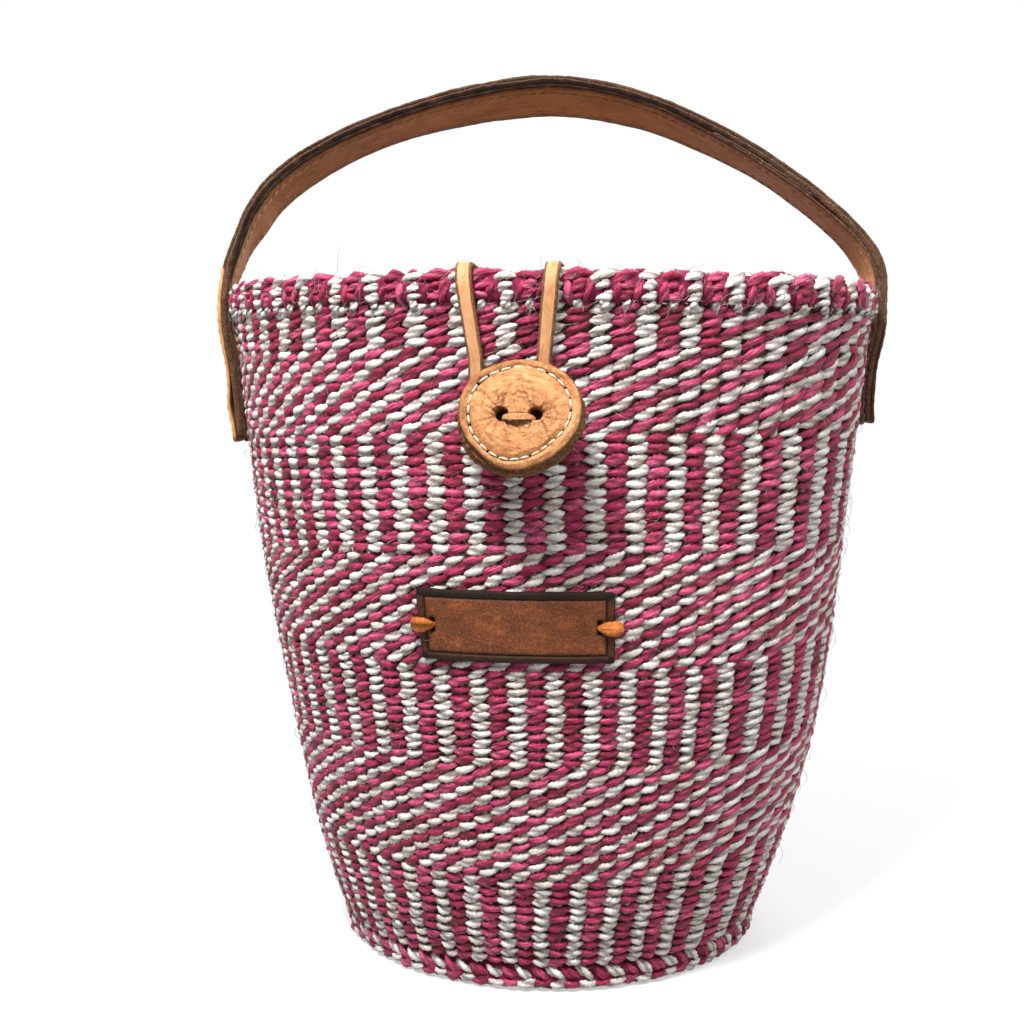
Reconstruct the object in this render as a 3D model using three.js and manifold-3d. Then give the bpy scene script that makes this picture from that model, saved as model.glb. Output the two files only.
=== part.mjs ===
// A round sisal basket with a leather strap handle, a button and loop closure and a leather label.
// Millimetres, +Z up. The origin is the centre of the flat underside. The button faces -Y.
import * as THREE from 'three';
import { mergeVertices } from 'three/addons/utils/BufferGeometryUtils.js';
import Module from 'manifold-3d';

const wasm = await Module();
wasm.setup();

// Driving dimensions of the woven body
const basketHeight = 240;
const footRadius = 73.7;
const mouthRadius = 118;
const wallBelly = 10;
const bellyLowShare = 0.67;
const mouthOffset = 0.4;
const wallSway = 1.8;
const swayTopShare = 0.7;
const wallThickness = 5.5;
const baseThickness = 6;
const baseEdgeChamfer = 1.2;
const edgeBraidHeight = 10.4;
const edgeBraidWidth = 5.6;
const rimBraidHeight = 10.4;
const rimBraidWidth = 7.4;
const rimOverhang = 0.3;

// Driving dimensions of the leather strap handle
const strapWidth = 22;
const coverThickness = 1.1;
const coreThickness = 2;
const liningThickness = 1.1;
const archRise = 78;
const archRoundness = 1.72;
const archSkew = 5.5;
const hingeRise = 2;
const handleLean = THREE.MathUtils.degToRad(16.5);
const hornDrop = 6;
const cradleClearance = 0.5;
const strapCornerRadius = 3;
const strapEase = 20;
const fillerThickness = 1.4;
const fillerStartShare = 0.7;
const fillerEndShare = 0.84;
const liningEaseLength = 18;
const leftEndLength = 59;
const leftEndFlare = 0.3;
const rightEndLength = 52.4;
const rightEndFlare = 1.8;
const flareSharpness = 8;

// Driving dimensions of the closing loop and the button
const fittingsTurn = THREE.MathUtils.degToRad(-7.8);
const loopStripWidth = 4.8;
const loopStripThickness = 2;
const loopTopSpread = 26.3;
const loopFootSpread = 21.3;
const loopStraightDrop = 27;
const loopFootDrop = 46;
const loopSag = 4;
const loopFoldInset = 3.2;
const loopHingeGap = 0.4;
const loopTailDrop = 28;
const buttonDrop = 44.5;
const buttonOffset = 4.9;
const buttonRadius = 18.5;
const buttonFlatness = 0.93;
const buttonLayerInset = 0.5;
const buttonTilt = THREE.MathUtils.degToRad(-17);
const buttonStandOff = 9.9;
const buttonSheet = 2;
const buttonFaceRim = 2.6;
const buttonPad = 2.4;
const buttonHoleSpacing = 9.9;
const buttonHoleRadius = 1.8;
const thongThickness = 2;
const thongRise = 1.7;
const thongShankRadius = 1.25;
const thongNeckSpacing = 6.4;
const shankRunningGap = 0.7;

// Driving dimensions of the label
const labelWidth = 62;
const labelHeight = 23;
const labelThickness = 1.6;
const labelDrop = 110;
const borderInset = 2;
const borderWidth = 1;
const borderDepth = 0.45;
const tieWidth = 4.6;
const tieThickness = 1.3;
const tieInset = 4.6;
const tieReach = 2.2;
const tieSlotClearance = 0.35;
const knotRadius = 3;

// Working gaps
const seatGap = 0.3;
const overrun = 5;

const strapThickness = coverThickness + coreThickness + liningThickness + 2 * seatGap;
const wallTop = basketHeight - rimBraidHeight - seatGap;
const wallBottom = edgeBraidHeight + 2 * seatGap;
const rimCentreRadius = mouthRadius + rimOverhang - rimBraidWidth / 2;
const rimOuterRadius = mouthRadius + rimOverhang;
const hingeHeight = basketHeight + hingeRise;
const archHalfSpan = rimOuterRadius + seatGap + strapThickness;
const loopStraightHeight = basketHeight - loopStraightDrop;
const loopFootHeight = basketHeight - loopFootDrop;
const buttonHeight = basketHeight - buttonDrop;
const labelCentreHeight = basketHeight - labelDrop;

// Materials, one for each finish
const finish = (color, roughness) => () => new THREE.MeshStandardMaterial({ color, roughness, metalness: 0 });
const sisal = finish('#c56a8c', 0.92);
const sisalPlain = finish('#dcd3c4', 0.94);
const tanLeather = finish('#c98a56', 0.62);
const strapLeather = finish('#9c6336', 0.6);
const rawCore = finish('#4d3420', 0.9);
const darkLeather = finish('#5a3324', 0.66);
const orangeLeather = finish('#bf7a3c', 0.6);

// Outer radius of the wall at a height: a cone that swells low down, as a soft basket does
function wallRadius(z) {
  const up = THREE.MathUtils.clamp(z / basketHeight, 0, 1);
  return footRadius + (mouthRadius - footRadius) * up + wallBelly * Math.sin(Math.PI * up ** bellyLowShare);
}

// The soft wall sways a little to one side low down, and its mouth leans to the same side
function leanAt(z) {
  const up = z / basketHeight;
  const sway = wallSway * Math.sin(Math.PI * Math.min(up / swayTopShare, 1)) ** 2;
  return mouthOffset * up ** 3 + sway;
}

function leaned(geometry) {
  const place = geometry.attributes.position;
  for (let i = 0; i < place.count; i += 1) place.setX(i, place.getX(i) + leanAt(place.getZ(i)));
  return geometry;
}

// A point beside the wall: turn is measured from the front, towards +X
function wallPoint(turn, z, standOff) {
  const radius = wallRadius(z) + standOff;
  return [leanAt(z) + radius * Math.sin(turn), -radius * Math.cos(turn), z];
}

// Joins and cuts
function solidOf(geometry) {
  const bare = geometry.clone();
  bare.deleteAttribute('normal');
  bare.deleteAttribute('uv');
  const merged = mergeVertices(bare, 1e-4);
  return new wasm.Manifold(new wasm.Mesh({
    numProp: 3,
    vertProperties: new Float32Array(merged.attributes.position.array),
    triVerts: new Uint32Array(merged.index.array),
  }));
}

function geometryOf(solid) {
  const mesh = solid.getMesh();
  const geometry = new THREE.BufferGeometry();
  geometry.setAttribute('position', new THREE.BufferAttribute(mesh.vertProperties, 3));
  geometry.setIndex(new THREE.BufferAttribute(mesh.triVerts, 1));
  geometry.computeVertexNormals();
  return geometry;
}

const cut = (body, ...tools) => geometryOf(
  tools.reduce((left, tool) => left.subtract(solidOf(tool)), solidOf(body)),
);
const common = (body, tool) => geometryOf(solidOf(body).intersect(solidOf(tool)));

const extruded = (shape, depth, curveSegments = 12) => new THREE.ExtrudeGeometry(shape, {
  depth, bevelEnabled: false, curveSegments,
});

// A profile in X and Z, drawn out along Y, centred on Y = 0
function alongY(shape, width, curveSegments) {
  return extruded(shape, width, curveSegments).rotateX(Math.PI / 2).translate(0, width / 2, 0);
}

// An outline in Y and Z, drawn out along X, centred on X = 0
function alongX(shape, width, curveSegments) {
  return extruded(shape, width, curveSegments)
    .rotateX(Math.PI / 2)
    .rotateZ(Math.PI / 2)
    .translate(-width / 2, 0, 0);
}

// A ring about Z from a closed profile of [radius, height] points
function ring(profile, steps) {
  const points = profile.map(([r, z]) => new THREE.Vector2(r, z));
  return new THREE.LatheGeometry(points, steps).rotateX(Math.PI / 2);
}

// Rounded-box section of a braid, anticlockwise
function braidSection(radius, height, width, tall, steps) {
  const points = [];
  const squareness = 3;
  for (let i = 0; i <= steps; i += 1) {
    const a = (i / steps) * 2 * Math.PI;
    const c = Math.cos(i === steps ? 0 : a);
    const s = Math.sin(i === steps ? 0 : a);
    points.push([
      radius + (width / 2) * Math.sign(c) * Math.abs(c) ** (2 / squareness),
      height + (tall / 2) * Math.sign(s) * Math.abs(s) ** (2 / squareness),
    ]);
  }
  return points;
}

const basket = new THREE.Group();

function piece(name, geometry, material, parent = basket) {
  const mesh = new THREE.Mesh(geometry, material());
  mesh.name = name;
  parent.add(mesh);
  return mesh;
}

// Woven base, wall and braids
const ringSteps = 64;
const braidInnerRadius = wallRadius(wallBottom) - edgeBraidWidth - rimOverhang / 2;
const baseDiscRadius = braidInnerRadius - seatGap;
piece('woven_base', ring([
  [0, 0],
  [baseDiscRadius - baseEdgeChamfer, 0],
  [baseDiscRadius, baseEdgeChamfer],
  [baseDiscRadius, baseThickness],
  [0, baseThickness],
], ringSteps), sisalPlain);

const edgeBraidMiddle = seatGap + edgeBraidHeight / 2;
piece('base_edge_braid', ring(
  braidSection(braidInnerRadius + edgeBraidWidth / 2, edgeBraidMiddle, edgeBraidWidth, edgeBraidHeight, 10),
  ringSteps,
), sisal);

function wallProfile() {
  const outerSteps = 16;
  const innerSteps = 11;
  const heightAt = (i, steps) => THREE.MathUtils.lerp(wallBottom, wallTop, i / steps);
  const points = [];
  for (let i = 0; i <= outerSteps; i += 1) {
    const z = heightAt(i, outerSteps);
    points.push([wallRadius(z), z]);
  }
  for (let i = innerSteps; i >= 0; i -= 1) {
    const z = heightAt(i, innerSteps);
    points.push([wallRadius(z) - wallThickness, z]);
  }
  points.push([...points[0]]);
  return points;
}
piece('woven_wall', leaned(ring(wallProfile(), ringSteps)), sisal);

const rimMiddle = basketHeight - rimBraidHeight / 2;
piece('rim_braid', leaned(ring(
  braidSection(rimCentreRadius, rimMiddle, rimBraidWidth, rimBraidHeight, 12),
  ringSteps,
)), sisal);

// The strap is three leathers. Each layer is given by its depth below the outer face.
const layers = [
  { name: 'cover', top: 0, thickness: coverThickness, material: strapLeather },
  { name: 'core', top: coverThickness + seatGap, thickness: coreThickness, material: rawCore },
  {
    name: 'lining',
    top: strapThickness - liningThickness,
    thickness: liningThickness,
    material: strapLeather,
  },
];

// Sewn-down ends of the strap, which lie over the rim and ease on to the wall
const strapEnds = [
  { side: 'left', sign: -1, drop: leftEndLength, flare: leftEndFlare },
  { side: 'right', sign: 1, drop: rightEndLength, flare: rightEndFlare },
];

function endFace(end, z) {
  const easeTop = basketHeight - rimBraidHeight;
  const ease = THREE.MathUtils.smoothstep(z, easeTop - strapEase, easeTop);
  const backing = THREE.MathUtils.lerp(wallRadius(z), rimOuterRadius, ease);
  const along = THREE.MathUtils.clamp((z - (hingeHeight - end.drop)) / end.drop, 0, 1);
  const flare = end.flare * (1 - along) ** flareSharpness;
  const outward = backing + seatGap + strapThickness + flare;
  return leanAt(z) - mouthOffset + end.sign * outward;
}

function endBand(end, layer) {
  const steps = 14;
  const bottom = hingeHeight - end.drop;
  const points = [];
  const addPoint = (i, depth) => {
    const z = THREE.MathUtils.lerp(bottom, hingeHeight, i / steps);
    points.push(new THREE.Vector2(endFace(end, z) - end.sign * depth, z));
  };
  for (let i = 0; i <= steps; i += 1) addPoint(i, layer.top);
  for (let i = steps; i >= 0; i -= 1) addPoint(i, layer.top + layer.thickness);
  return alongY(new THREE.Shape(points), strapWidth + overrun);
}

// Seen from the side, an end has round lower corners and a round cradle on top for the handle's tongue
function endOutline(end) {
  const half = strapWidth / 2;
  const bottom = hingeHeight - end.drop;
  const cradle = half + cradleClearance;
  const hornTop = hingeHeight - hornDrop;
  const hornAngle = Math.asin(hornDrop / cradle);
  const corner = strapCornerRadius;
  const shape = new THREE.Shape();
  shape.moveTo(-half, bottom + corner);
  shape.absarc(corner - half, bottom + corner, corner, Math.PI, 1.5 * Math.PI, false);
  shape.absarc(half - corner, bottom + corner, corner, 1.5 * Math.PI, 2 * Math.PI, false);
  shape.lineTo(half, hornTop);
  shape.lineTo(cradle * Math.cos(hornAngle), hornTop);
  shape.absarc(0, hingeHeight, cradle, -hornAngle, hornAngle - Math.PI, true);
  shape.lineTo(-half, hornTop);
  shape.closePath();
  return shape;
}

const rimGroup = new THREE.Group();
rimGroup.position.x = mouthOffset;
basket.add(rimGroup);

for (const end of strapEnds) {
  const sheath = alongX(endOutline(end), 2 * (archHalfSpan + overrun), 8);
  for (const layer of layers) {
    const name = `strap_end_${end.side}_${layer.name}`;
    piece(name, common(endBand(end, layer), sheath), layer.material, rimGroup);
  }
}

// The arch of the handle, measured up from the tilting axis: a rounded bow, fuller on the left shoulder
function archPoint(t) {
  const turn = Math.PI * THREE.MathUtils.clamp(t, 0, 1);
  const c = Math.cos(turn);
  const s = Math.sin(turn);
  const below = Math.max(-t, t - 1, 0) * archHalfSpan;
  return new THREE.Vector2(
    -archHalfSpan * Math.sign(c) * Math.abs(c) ** (2 / archRoundness) - archSkew * Math.sin(2 * turn) ** 2,
    archRise * s ** (2 / archRoundness) - below,
  );
}

function archOffset(t, depth) {
  const step = 1e-3;
  const run = archPoint(t + step).sub(archPoint(t - step)).normalize();
  return archPoint(t).add(new THREE.Vector2(run.y, -run.x).multiplyScalar(depth));
}

function archBand(from, to, steps, topAt, thickness) {
  const shape = new THREE.Shape();
  const at = (i) => THREE.MathUtils.lerp(from, to, i / steps);
  for (let i = 0; i <= steps; i += 1) {
    const p = archOffset(at(i), topAt(at(i)));
    if (i === 0) shape.moveTo(p.x, p.y);
    else shape.lineTo(p.x, p.y);
  }
  for (let i = steps; i >= 0; i -= 1) {
    const p = archOffset(at(i), topAt(at(i)) + thickness);
    shape.lineTo(p.x, p.y);
  }
  return alongY(shape, strapWidth + overrun);
}

// Seen from the side, the handle is straight with a round tongue at its foot
function tongueOutline() {
  const half = strapWidth / 2;
  const shape = new THREE.Shape();
  shape.moveTo(-half, 0);
  shape.absarc(0, 0, half, Math.PI, 2 * Math.PI, false);
  shape.lineTo(half, archRise + overrun);
  shape.lineTo(-half, archRise + overrun);
  shape.closePath();
  return shape;
}

const handle = new THREE.Group();
handle.position.z = hingeHeight;
handle.rotation.x = -handleLean;
rimGroup.add(handle);

const tongueShare = (strapWidth / 2 + overrun) / archHalfSpan;
const tongueSheath = alongX(tongueOutline(), 2 * (archHalfSpan + overrun), 10);
const archPiece = (name, band, material) => piece(name, common(band, tongueSheath), material, handle);

const archSteps = 46;
for (const layer of layers.slice(0, 2)) {
  const band = archBand(-tongueShare, 1 + tongueShare, archSteps, () => layer.top, layer.thickness);
  archPiece(`handle_${layer.name}`, band, layer.material);
}

// A shorter strip fills up the right shoulder between core and lining, so the lining dips to pass it
const lining = layers[2];
const easeShare = liningEaseLength / (2 * archHalfSpan);
function liningTop(t) {
  const { smoothstep } = THREE.MathUtils;
  const dip = smoothstep(t, fillerStartShare - easeShare, fillerStartShare)
    - smoothstep(t, fillerEndShare, fillerEndShare + easeShare);
  return lining.top + dip * (fillerThickness + seatGap);
}
archPiece(
  'handle_lining_long',
  archBand(-tongueShare, 1 + tongueShare, archSteps, liningTop, liningThickness),
  lining.material,
);
archPiece(
  'handle_lining_short',
  archBand(fillerStartShare, fillerEndShare, archSteps / 2, () => lining.top, fillerThickness),
  lining.material,
);

// The closing loop and the button sit a little to the left of the middle of the front
const fittings = new THREE.Group();
fittings.position.x = mouthOffset;
fittings.rotation.z = fittingsTurn;
basket.add(fittings);

const foldRadius = rimCentreRadius - loopFoldInset;
const loopMiddleHeight = basketHeight + seatGap + loopStripThickness / 2;

// Side view of a strip that folds over the rim and runs down outside to a foot
function foldedStrip(footHeight) {
  const half = loopStripThickness / 2;
  const bend = 8;
  const middle = [[foldRadius + loopHingeGap, loopMiddleHeight, 0]];
  for (let i = 0; i <= bend; i += 1) {
    const a = (i / bend) * (Math.PI / 2);
    middle.push([
      rimCentreRadius + (rimBraidWidth / 2 + seatGap + half) * Math.sin(a),
      rimMiddle + (rimBraidHeight / 2 + seatGap + half) * Math.cos(a),
      a,
    ]);
  }
  const foot = wallRadius(footHeight) + seatGap + half;
  middle.push([foot, footHeight, Math.PI / 2]);
  const shape = new THREE.Shape();
  middle.forEach(([r, z, a], i) => {
    const x = -(r + half * Math.sin(a));
    const y = z + half * Math.cos(a);
    if (i === 0) shape.moveTo(x, y);
    else shape.lineTo(x, y);
  });
  for (const [r, z, a] of middle.reverse()) shape.lineTo(-(r - half * Math.sin(a)), z - half * Math.cos(a));
  return shape;
}

// Front view of the hanging part: two legs that draw together and join in a round foot
function loopOutline() {
  const top = loopMiddleHeight + overrun;
  const path = (inset) => {
    const topHalf = loopTopSpread / 2 + inset;
    const footHalf = loopFootSpread / 2 + inset;
    const points = [[-topHalf, top], [-topHalf, basketHeight], [-footHalf, loopStraightHeight]];
    const arcSteps = 14;
    for (let i = 0; i <= arcSteps; i += 1) {
      const a = Math.PI + (i / arcSteps) * Math.PI;
      points.push([footHalf * Math.cos(a), loopFootHeight + footHalf * Math.sin(a)]);
    }
    points.push([footHalf, loopStraightHeight], [topHalf, basketHeight], [topHalf, top]);
    return points;
  };
  const outer = path(loopStripWidth / 2);
  const inner = path(-loopStripWidth / 2).reverse();
  return new THREE.Shape([...outer, ...inner].map(([x, z]) => new THREE.Vector2(x, z)));
}

const loopLowest = loopFootHeight - (loopFootSpread + loopStripWidth) / 2;
const loopCurtain = alongX(foldedStrip(loopLowest - overrun), loopTopSpread + 2 * overrun);
const loopFront = alongY(loopOutline(), 2 * (rimOuterRadius + overrun));
piece('loop_drop', common(loopCurtain, loopFront), tanLeather, fittings);

// Two straight legs cross the mouth from the back rim to the front rim
function spanProfile() {
  const steps = 8;
  const reach = foldRadius - loopHingeGap;
  const half = loopStripThickness / 2;
  const along = (i) => THREE.MathUtils.lerp(-reach, reach, i / steps);
  const middle = (y) => loopMiddleHeight - loopSag * (1 - (y / reach) ** 2);
  const points = [];
  for (let i = 0; i <= steps; i += 1) points.push([along(i), middle(along(i)) - half]);
  for (let i = steps; i >= 0; i -= 1) points.push([along(i), middle(along(i)) + half]);
  return new THREE.Shape(points.map(([y, z]) => new THREE.Vector2(y, z)));
}

function knot(radius, place, stretch = 1) {
  return new THREE.SphereGeometry(radius, 12, 8).scale(stretch, 1, 1).translate(...place);
}

// How far from the axis a knot lies that rests inside the wall, at a distance across from the middle
function knotReach(z, across) {
  const radius = wallRadius(z) - wallThickness - 2 * seatGap - knotRadius;
  return Math.sqrt(radius ** 2 - across ** 2);
}

for (const [side, sign] of [['left', -1], ['right', 1]]) {
  const across = (sign * loopTopSpread) / 2;
  piece(
    `loop_leg_${side}`,
    alongX(spanProfile(), loopStripWidth).translate(across, 0, 0),
    tanLeather,
    fittings,
  );
  const tailFoot = basketHeight - loopTailDrop;
  const tail = alongX(foldedStrip(tailFoot), loopStripWidth).rotateZ(Math.PI).translate(across, 0, 0);
  piece(`loop_tail_${side}`, tail, tanLeather, fittings);
  piece(
    `loop_knot_${side}`,
    knot(knotRadius, [across, knotReach(tailFoot, across), tailFoot]),
    tanLeather,
    fittings,
  );
}

// The button: three leathers held by one thong through two holes
const buttonBack = -(wallRadius(buttonHeight) + buttonStandOff);
const button = new THREE.Group();
button.position.set(buttonOffset, buttonBack, buttonHeight);
button.rotation.x = buttonTilt;
fittings.add(button);

const buttonSteps = 36;
const holeDepth = 2 * buttonStandOff + 2 * overrun;
const holeTools = [-1, 1].map((sign) => (
  new THREE.CylinderGeometry(buttonHoleRadius, buttonHoleRadius, holeDepth, 12)
    .translate((sign * buttonHoleSpacing) / 2, 0, 0)
));

// The leathers are cut a little wider than tall
function ovalDisc(points) {
  const profile = points.map(([r, y]) => new THREE.Vector2(r, y));
  return new THREE.LatheGeometry(profile, buttonSteps).scale(1, 1, buttonFlatness);
}

function buttonDisc(radius, front, back) {
  const points = [[0, front], [radius, front], [radius, back], [0, back]];
  return cut(ovalDisc(points), ...holeTools);
}

const middleBack = -(buttonSheet + seatGap);
const faceBack = middleBack - (buttonSheet + seatGap);
const middleRadius = buttonRadius - buttonLayerInset;
piece('button_back', buttonDisc(buttonRadius, -buttonSheet, 0), darkLeather, button);
piece('button_middle', buttonDisc(middleRadius, middleBack - buttonSheet, middleBack), rawCore, button);

// Padded face: a soft cushion inside the stitch ring and a rounded margin outside it
const faceShares = [
  { radiusShare: 0, riseShare: 0.92 },
  { radiusShare: 0.33, riseShare: 1 },
  { radiusShare: 0.6, riseShare: 0.78 },
  { radiusShare: 0.76, riseShare: 0.26 },
  { radiusShare: 0.82, riseShare: 0.04 },
  { radiusShare: 0.89, riseShare: 0.2 },
  { radiusShare: 0.97, riseShare: -0.1 },
];
function buttonFace() {
  const points = faceShares.map(({ radiusShare, riseShare }) => [
    radiusShare * buttonRadius,
    faceBack - buttonFaceRim - riseShare * buttonPad,
  ]);
  points.push([buttonRadius, faceBack - buttonFaceRim / 2]);
  points.push([middleRadius, faceBack], [0, faceBack]);
  return cut(ovalDisc(points), ...holeTools);
}
piece('button_face', buttonFace(), tanLeather, button);

function thongStaple() {
  const outer = (buttonHoleSpacing + thongThickness) / 2;
  const inner = (buttonHoleSpacing - thongThickness) / 2;
  const seat = faceBack - buttonFaceRim - buttonPad - seatGap;
  const shape = new THREE.Shape();
  shape.moveTo(-outer, -seatGap);
  shape.lineTo(-outer, seat);
  shape.quadraticCurveTo(-outer, seat - thongRise, -inner, seat - thongRise);
  shape.lineTo(inner, seat - thongRise);
  shape.quadraticCurveTo(outer, seat - thongRise, outer, seat);
  shape.lineTo(outer, -seatGap);
  shape.lineTo(inner, -seatGap);
  shape.lineTo(inner, seat);
  shape.lineTo(-inner, seat);
  shape.lineTo(-inner, -seatGap);
  shape.closePath();
  return extruded(shape, thongThickness, 5).translate(0, 0, -thongThickness / 2);
}
piece('button_thong', thongStaple(), orangeLeather, button);

// The thong's two shanks draw together from the button's holes to the wall, inside the loop
const shankStart = -(wallRadius(buttonHeight) + seatGap);
const shankEnd = buttonBack + shankRunningGap;
for (const [side, sign] of [['left', -1], ['right', 1]]) {
  const atWall = new THREE.Vector2((sign * thongNeckSpacing) / 2, shankStart);
  const atButton = new THREE.Vector2(buttonOffset + (sign * buttonHoleSpacing) / 2, shankEnd);
  const run = atButton.clone().sub(atWall);
  const middle = atWall.clone().add(atButton).multiplyScalar(0.5);
  const shank = new THREE.CylinderGeometry(thongShankRadius, thongShankRadius, run.length() + overrun, 10)
    .rotateZ(-Math.atan2(run.x, run.y))
    .translate(middle.x, middle.y, buttonHeight);
  const slab = new THREE.BoxGeometry(4 * buttonHoleSpacing, -run.y, 4 * thongShankRadius)
    .translate(middle.x, middle.y, buttonHeight);
  piece(`button_shank_${side}`, common(shank, slab), orangeLeather, fittings);
}
const buttonKnotStretch = (thongNeckSpacing / 2 + thongShankRadius) / knotRadius;
const buttonKnotPlace = [0, -knotReach(buttonHeight, thongNeckSpacing / 2), buttonHeight];
piece('button_knot', knot(knotRadius, buttonKnotPlace, buttonKnotStretch), orangeLeather, fittings);

// The label: a leather panel bent round the wall, with a border line pressed into its face
const labelTurn = (across) => fittingsTurn + across / wallRadius(labelCentreHeight);

function gridStops(size, fineSteps) {
  const near = [0, borderInset, borderInset + borderWidth / 2, borderInset + borderWidth];
  const far = near.map((stop) => size - stop).reverse();
  const middle = [];
  for (let i = 1; i < fineSteps; i += 1) middle.push(THREE.MathUtils.lerp(near[3], far[0], i / fineSteps));
  return [...near, ...middle, ...far];
}

function labelPanel() {
  const columns = gridStops(labelWidth, 10);
  const rows = gridStops(labelHeight, 3);
  const line = borderInset + borderWidth / 2;
  const near = borderWidth / 10;
  const onLine = (value, size) => Math.abs(value - line) < near || Math.abs(size - value - line) < near;
  const within = (value, size) => value > line - near && value < size - line + near;
  const positions = [];
  const indices = [];
  const wide = columns.length;
  const layer = wide * rows.length;
  for (const front of [true, false]) {
    for (const v of rows) {
      for (const u of columns) {
        const pressed = (onLine(u, labelWidth) && within(v, labelHeight))
          || (onLine(v, labelHeight) && within(u, labelWidth));
        const standOff = front ? seatGap + labelThickness - (pressed ? borderDepth : 0) : seatGap;
        positions.push(...wallPoint(
          labelTurn(u - labelWidth / 2),
          labelCentreHeight - labelHeight / 2 + v,
          standOff,
        ));
      }
    }
  }
  const quad = (a, b, c, d) => indices.push(a, b, c, a, c, d);
  for (let r = 0; r + 1 < rows.length; r += 1) {
    for (let k = 0; k + 1 < wide; k += 1) {
      const a = r * wide + k;
      quad(a, a + 1, a + 1 + wide, a + wide);
      quad(layer + a, layer + a + wide, layer + a + 1 + wide, layer + a + 1);
    }
  }
  const edge = [];
  for (let k = 0; k + 1 < wide; k += 1) edge.push(k);
  for (let r = 0; r + 1 < rows.length; r += 1) edge.push(r * wide + wide - 1);
  for (let k = wide - 1; k > 0; k -= 1) edge.push((rows.length - 1) * wide + k);
  for (let r = rows.length - 1; r > 0; r -= 1) edge.push(r * wide);
  edge.forEach((a, i) => {
    const b = edge[(i + 1) % edge.length];
    quad(a, layer + a, layer + b, b);
  });
  const geometry = new THREE.BufferGeometry();
  geometry.setAttribute('position', new THREE.Float32BufferAttribute(positions, 3));
  geometry.setIndex(indices);
  geometry.computeVertexNormals();
  return geometry;
}

// Turns a piece drawn with X across and -Y outwards to its place on the wall beside the label
function onLabel(geometry, across) {
  const [x, y] = wallPoint(labelTurn(across), labelCentreHeight, 0);
  return geometry.rotateZ(labelTurn(across)).translate(x, y, labelCentreHeight);
}

const tieAcross = labelWidth / 2 - tieInset;
const slotWide = tieThickness + 2 * tieSlotClearance;
const slotTall = tieWidth + 2 * tieSlotClearance;
const slots = [-1, 1].map((sign) => onLabel(
  new THREE.BoxGeometry(slotWide, 2 * overrun, slotTall),
  sign * tieAcross,
));
piece('leather_label', cut(labelPanel(), ...slots), darkLeather);

// Each tie comes through a slot, bends over the label's edge and goes back between the strands
function tieStaple(sign) {
  const foot = -2 * seatGap;
  const bridge = -(2 * seatGap + labelThickness + seatGap);
  const near = tieThickness / 2;
  const far = tieInset + tieReach;
  const shape = new THREE.Shape();
  shape.moveTo(-sign * near, foot);
  shape.lineTo(-sign * near, bridge - tieThickness / 2);
  shape.quadraticCurveTo(-sign * near, bridge - tieThickness, 0, bridge - tieThickness);
  shape.lineTo(sign * (far - tieThickness), bridge - tieThickness);
  shape.quadraticCurveTo(sign * far, bridge - tieThickness, sign * far, bridge);
  shape.lineTo(sign * far, foot);
  shape.lineTo(sign * (far - tieThickness), foot);
  shape.lineTo(sign * (far - tieThickness), bridge);
  shape.lineTo(sign * near, bridge);
  shape.lineTo(sign * near, foot);
  shape.closePath();
  return extruded(shape, tieWidth, 4).translate(0, 0, -tieWidth / 2);
}

for (const [side, sign] of [['left', -1], ['right', 1]]) {
  piece(`label_tie_${side}`, onLabel(tieStaple(sign), sign * tieAcross), orangeLeather);
  const knotAcross = sign * (tieAcross + tieReach);
  const depth = wallThickness + 2 * seatGap + knotRadius;
  piece(`label_knot_${side}`, onLabel(knot(knotRadius, [0, depth, 0]), knotAcross), orangeLeather);
}

export default basket;
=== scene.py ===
# %% [markdown]
# A round sisal basket with a leather strap handle
#
# The basket is twined by hand: upright warps of plain sisal, and two weft strands, one magenta and one
# natural, that twist round each other and lock every warp between them. A bound rim, a braid round the
# foot, a strap of three leathers, a button with a loop, and a small leather label finish it.
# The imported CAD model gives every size. This script dresses it: strands instead of shells, leather with
# rough edges and stitches instead of plain bands.

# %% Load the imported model
import math
import bmesh
import bpy
import numpy as np
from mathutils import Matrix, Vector


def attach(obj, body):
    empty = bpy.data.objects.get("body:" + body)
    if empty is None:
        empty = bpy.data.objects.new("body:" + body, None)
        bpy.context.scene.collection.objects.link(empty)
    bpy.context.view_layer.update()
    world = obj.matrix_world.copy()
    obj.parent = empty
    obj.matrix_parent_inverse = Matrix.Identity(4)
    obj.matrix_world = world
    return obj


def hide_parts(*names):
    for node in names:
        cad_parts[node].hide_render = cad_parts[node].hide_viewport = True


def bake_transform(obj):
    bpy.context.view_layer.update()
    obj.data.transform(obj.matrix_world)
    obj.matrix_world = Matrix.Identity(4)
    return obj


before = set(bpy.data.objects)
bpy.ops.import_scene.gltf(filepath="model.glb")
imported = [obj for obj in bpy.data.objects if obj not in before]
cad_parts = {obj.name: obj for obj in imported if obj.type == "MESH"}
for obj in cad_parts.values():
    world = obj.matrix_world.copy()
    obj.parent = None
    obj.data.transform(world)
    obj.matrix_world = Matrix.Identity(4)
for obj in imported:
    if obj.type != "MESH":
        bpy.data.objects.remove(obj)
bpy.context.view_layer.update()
mm = 0.001
print("loaded", len(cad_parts), "nodes")

# %% [markdown]
# The camera stands where the photograph was taken. The ellipses of the rim and of the foot gave its place:
# a little over half a metre in front, just below the rim, looking slightly down.

# %% Camera
camera_data = bpy.data.cameras.new("camera")
camera_data.lens = 52.56
camera_data.sensor_width = 36
camera_data.clip_start = 0.01
camera = bpy.data.objects.new("camera", camera_data)
camera.location = (-14.5 * mm, -566 * mm, 210 * mm)
looks_down = 5.45
camera.rotation_euler = (math.radians(90 - looks_down), 0, 0)
bpy.context.scene.collection.objects.link(camera)
bpy.context.scene.camera = camera

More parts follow.
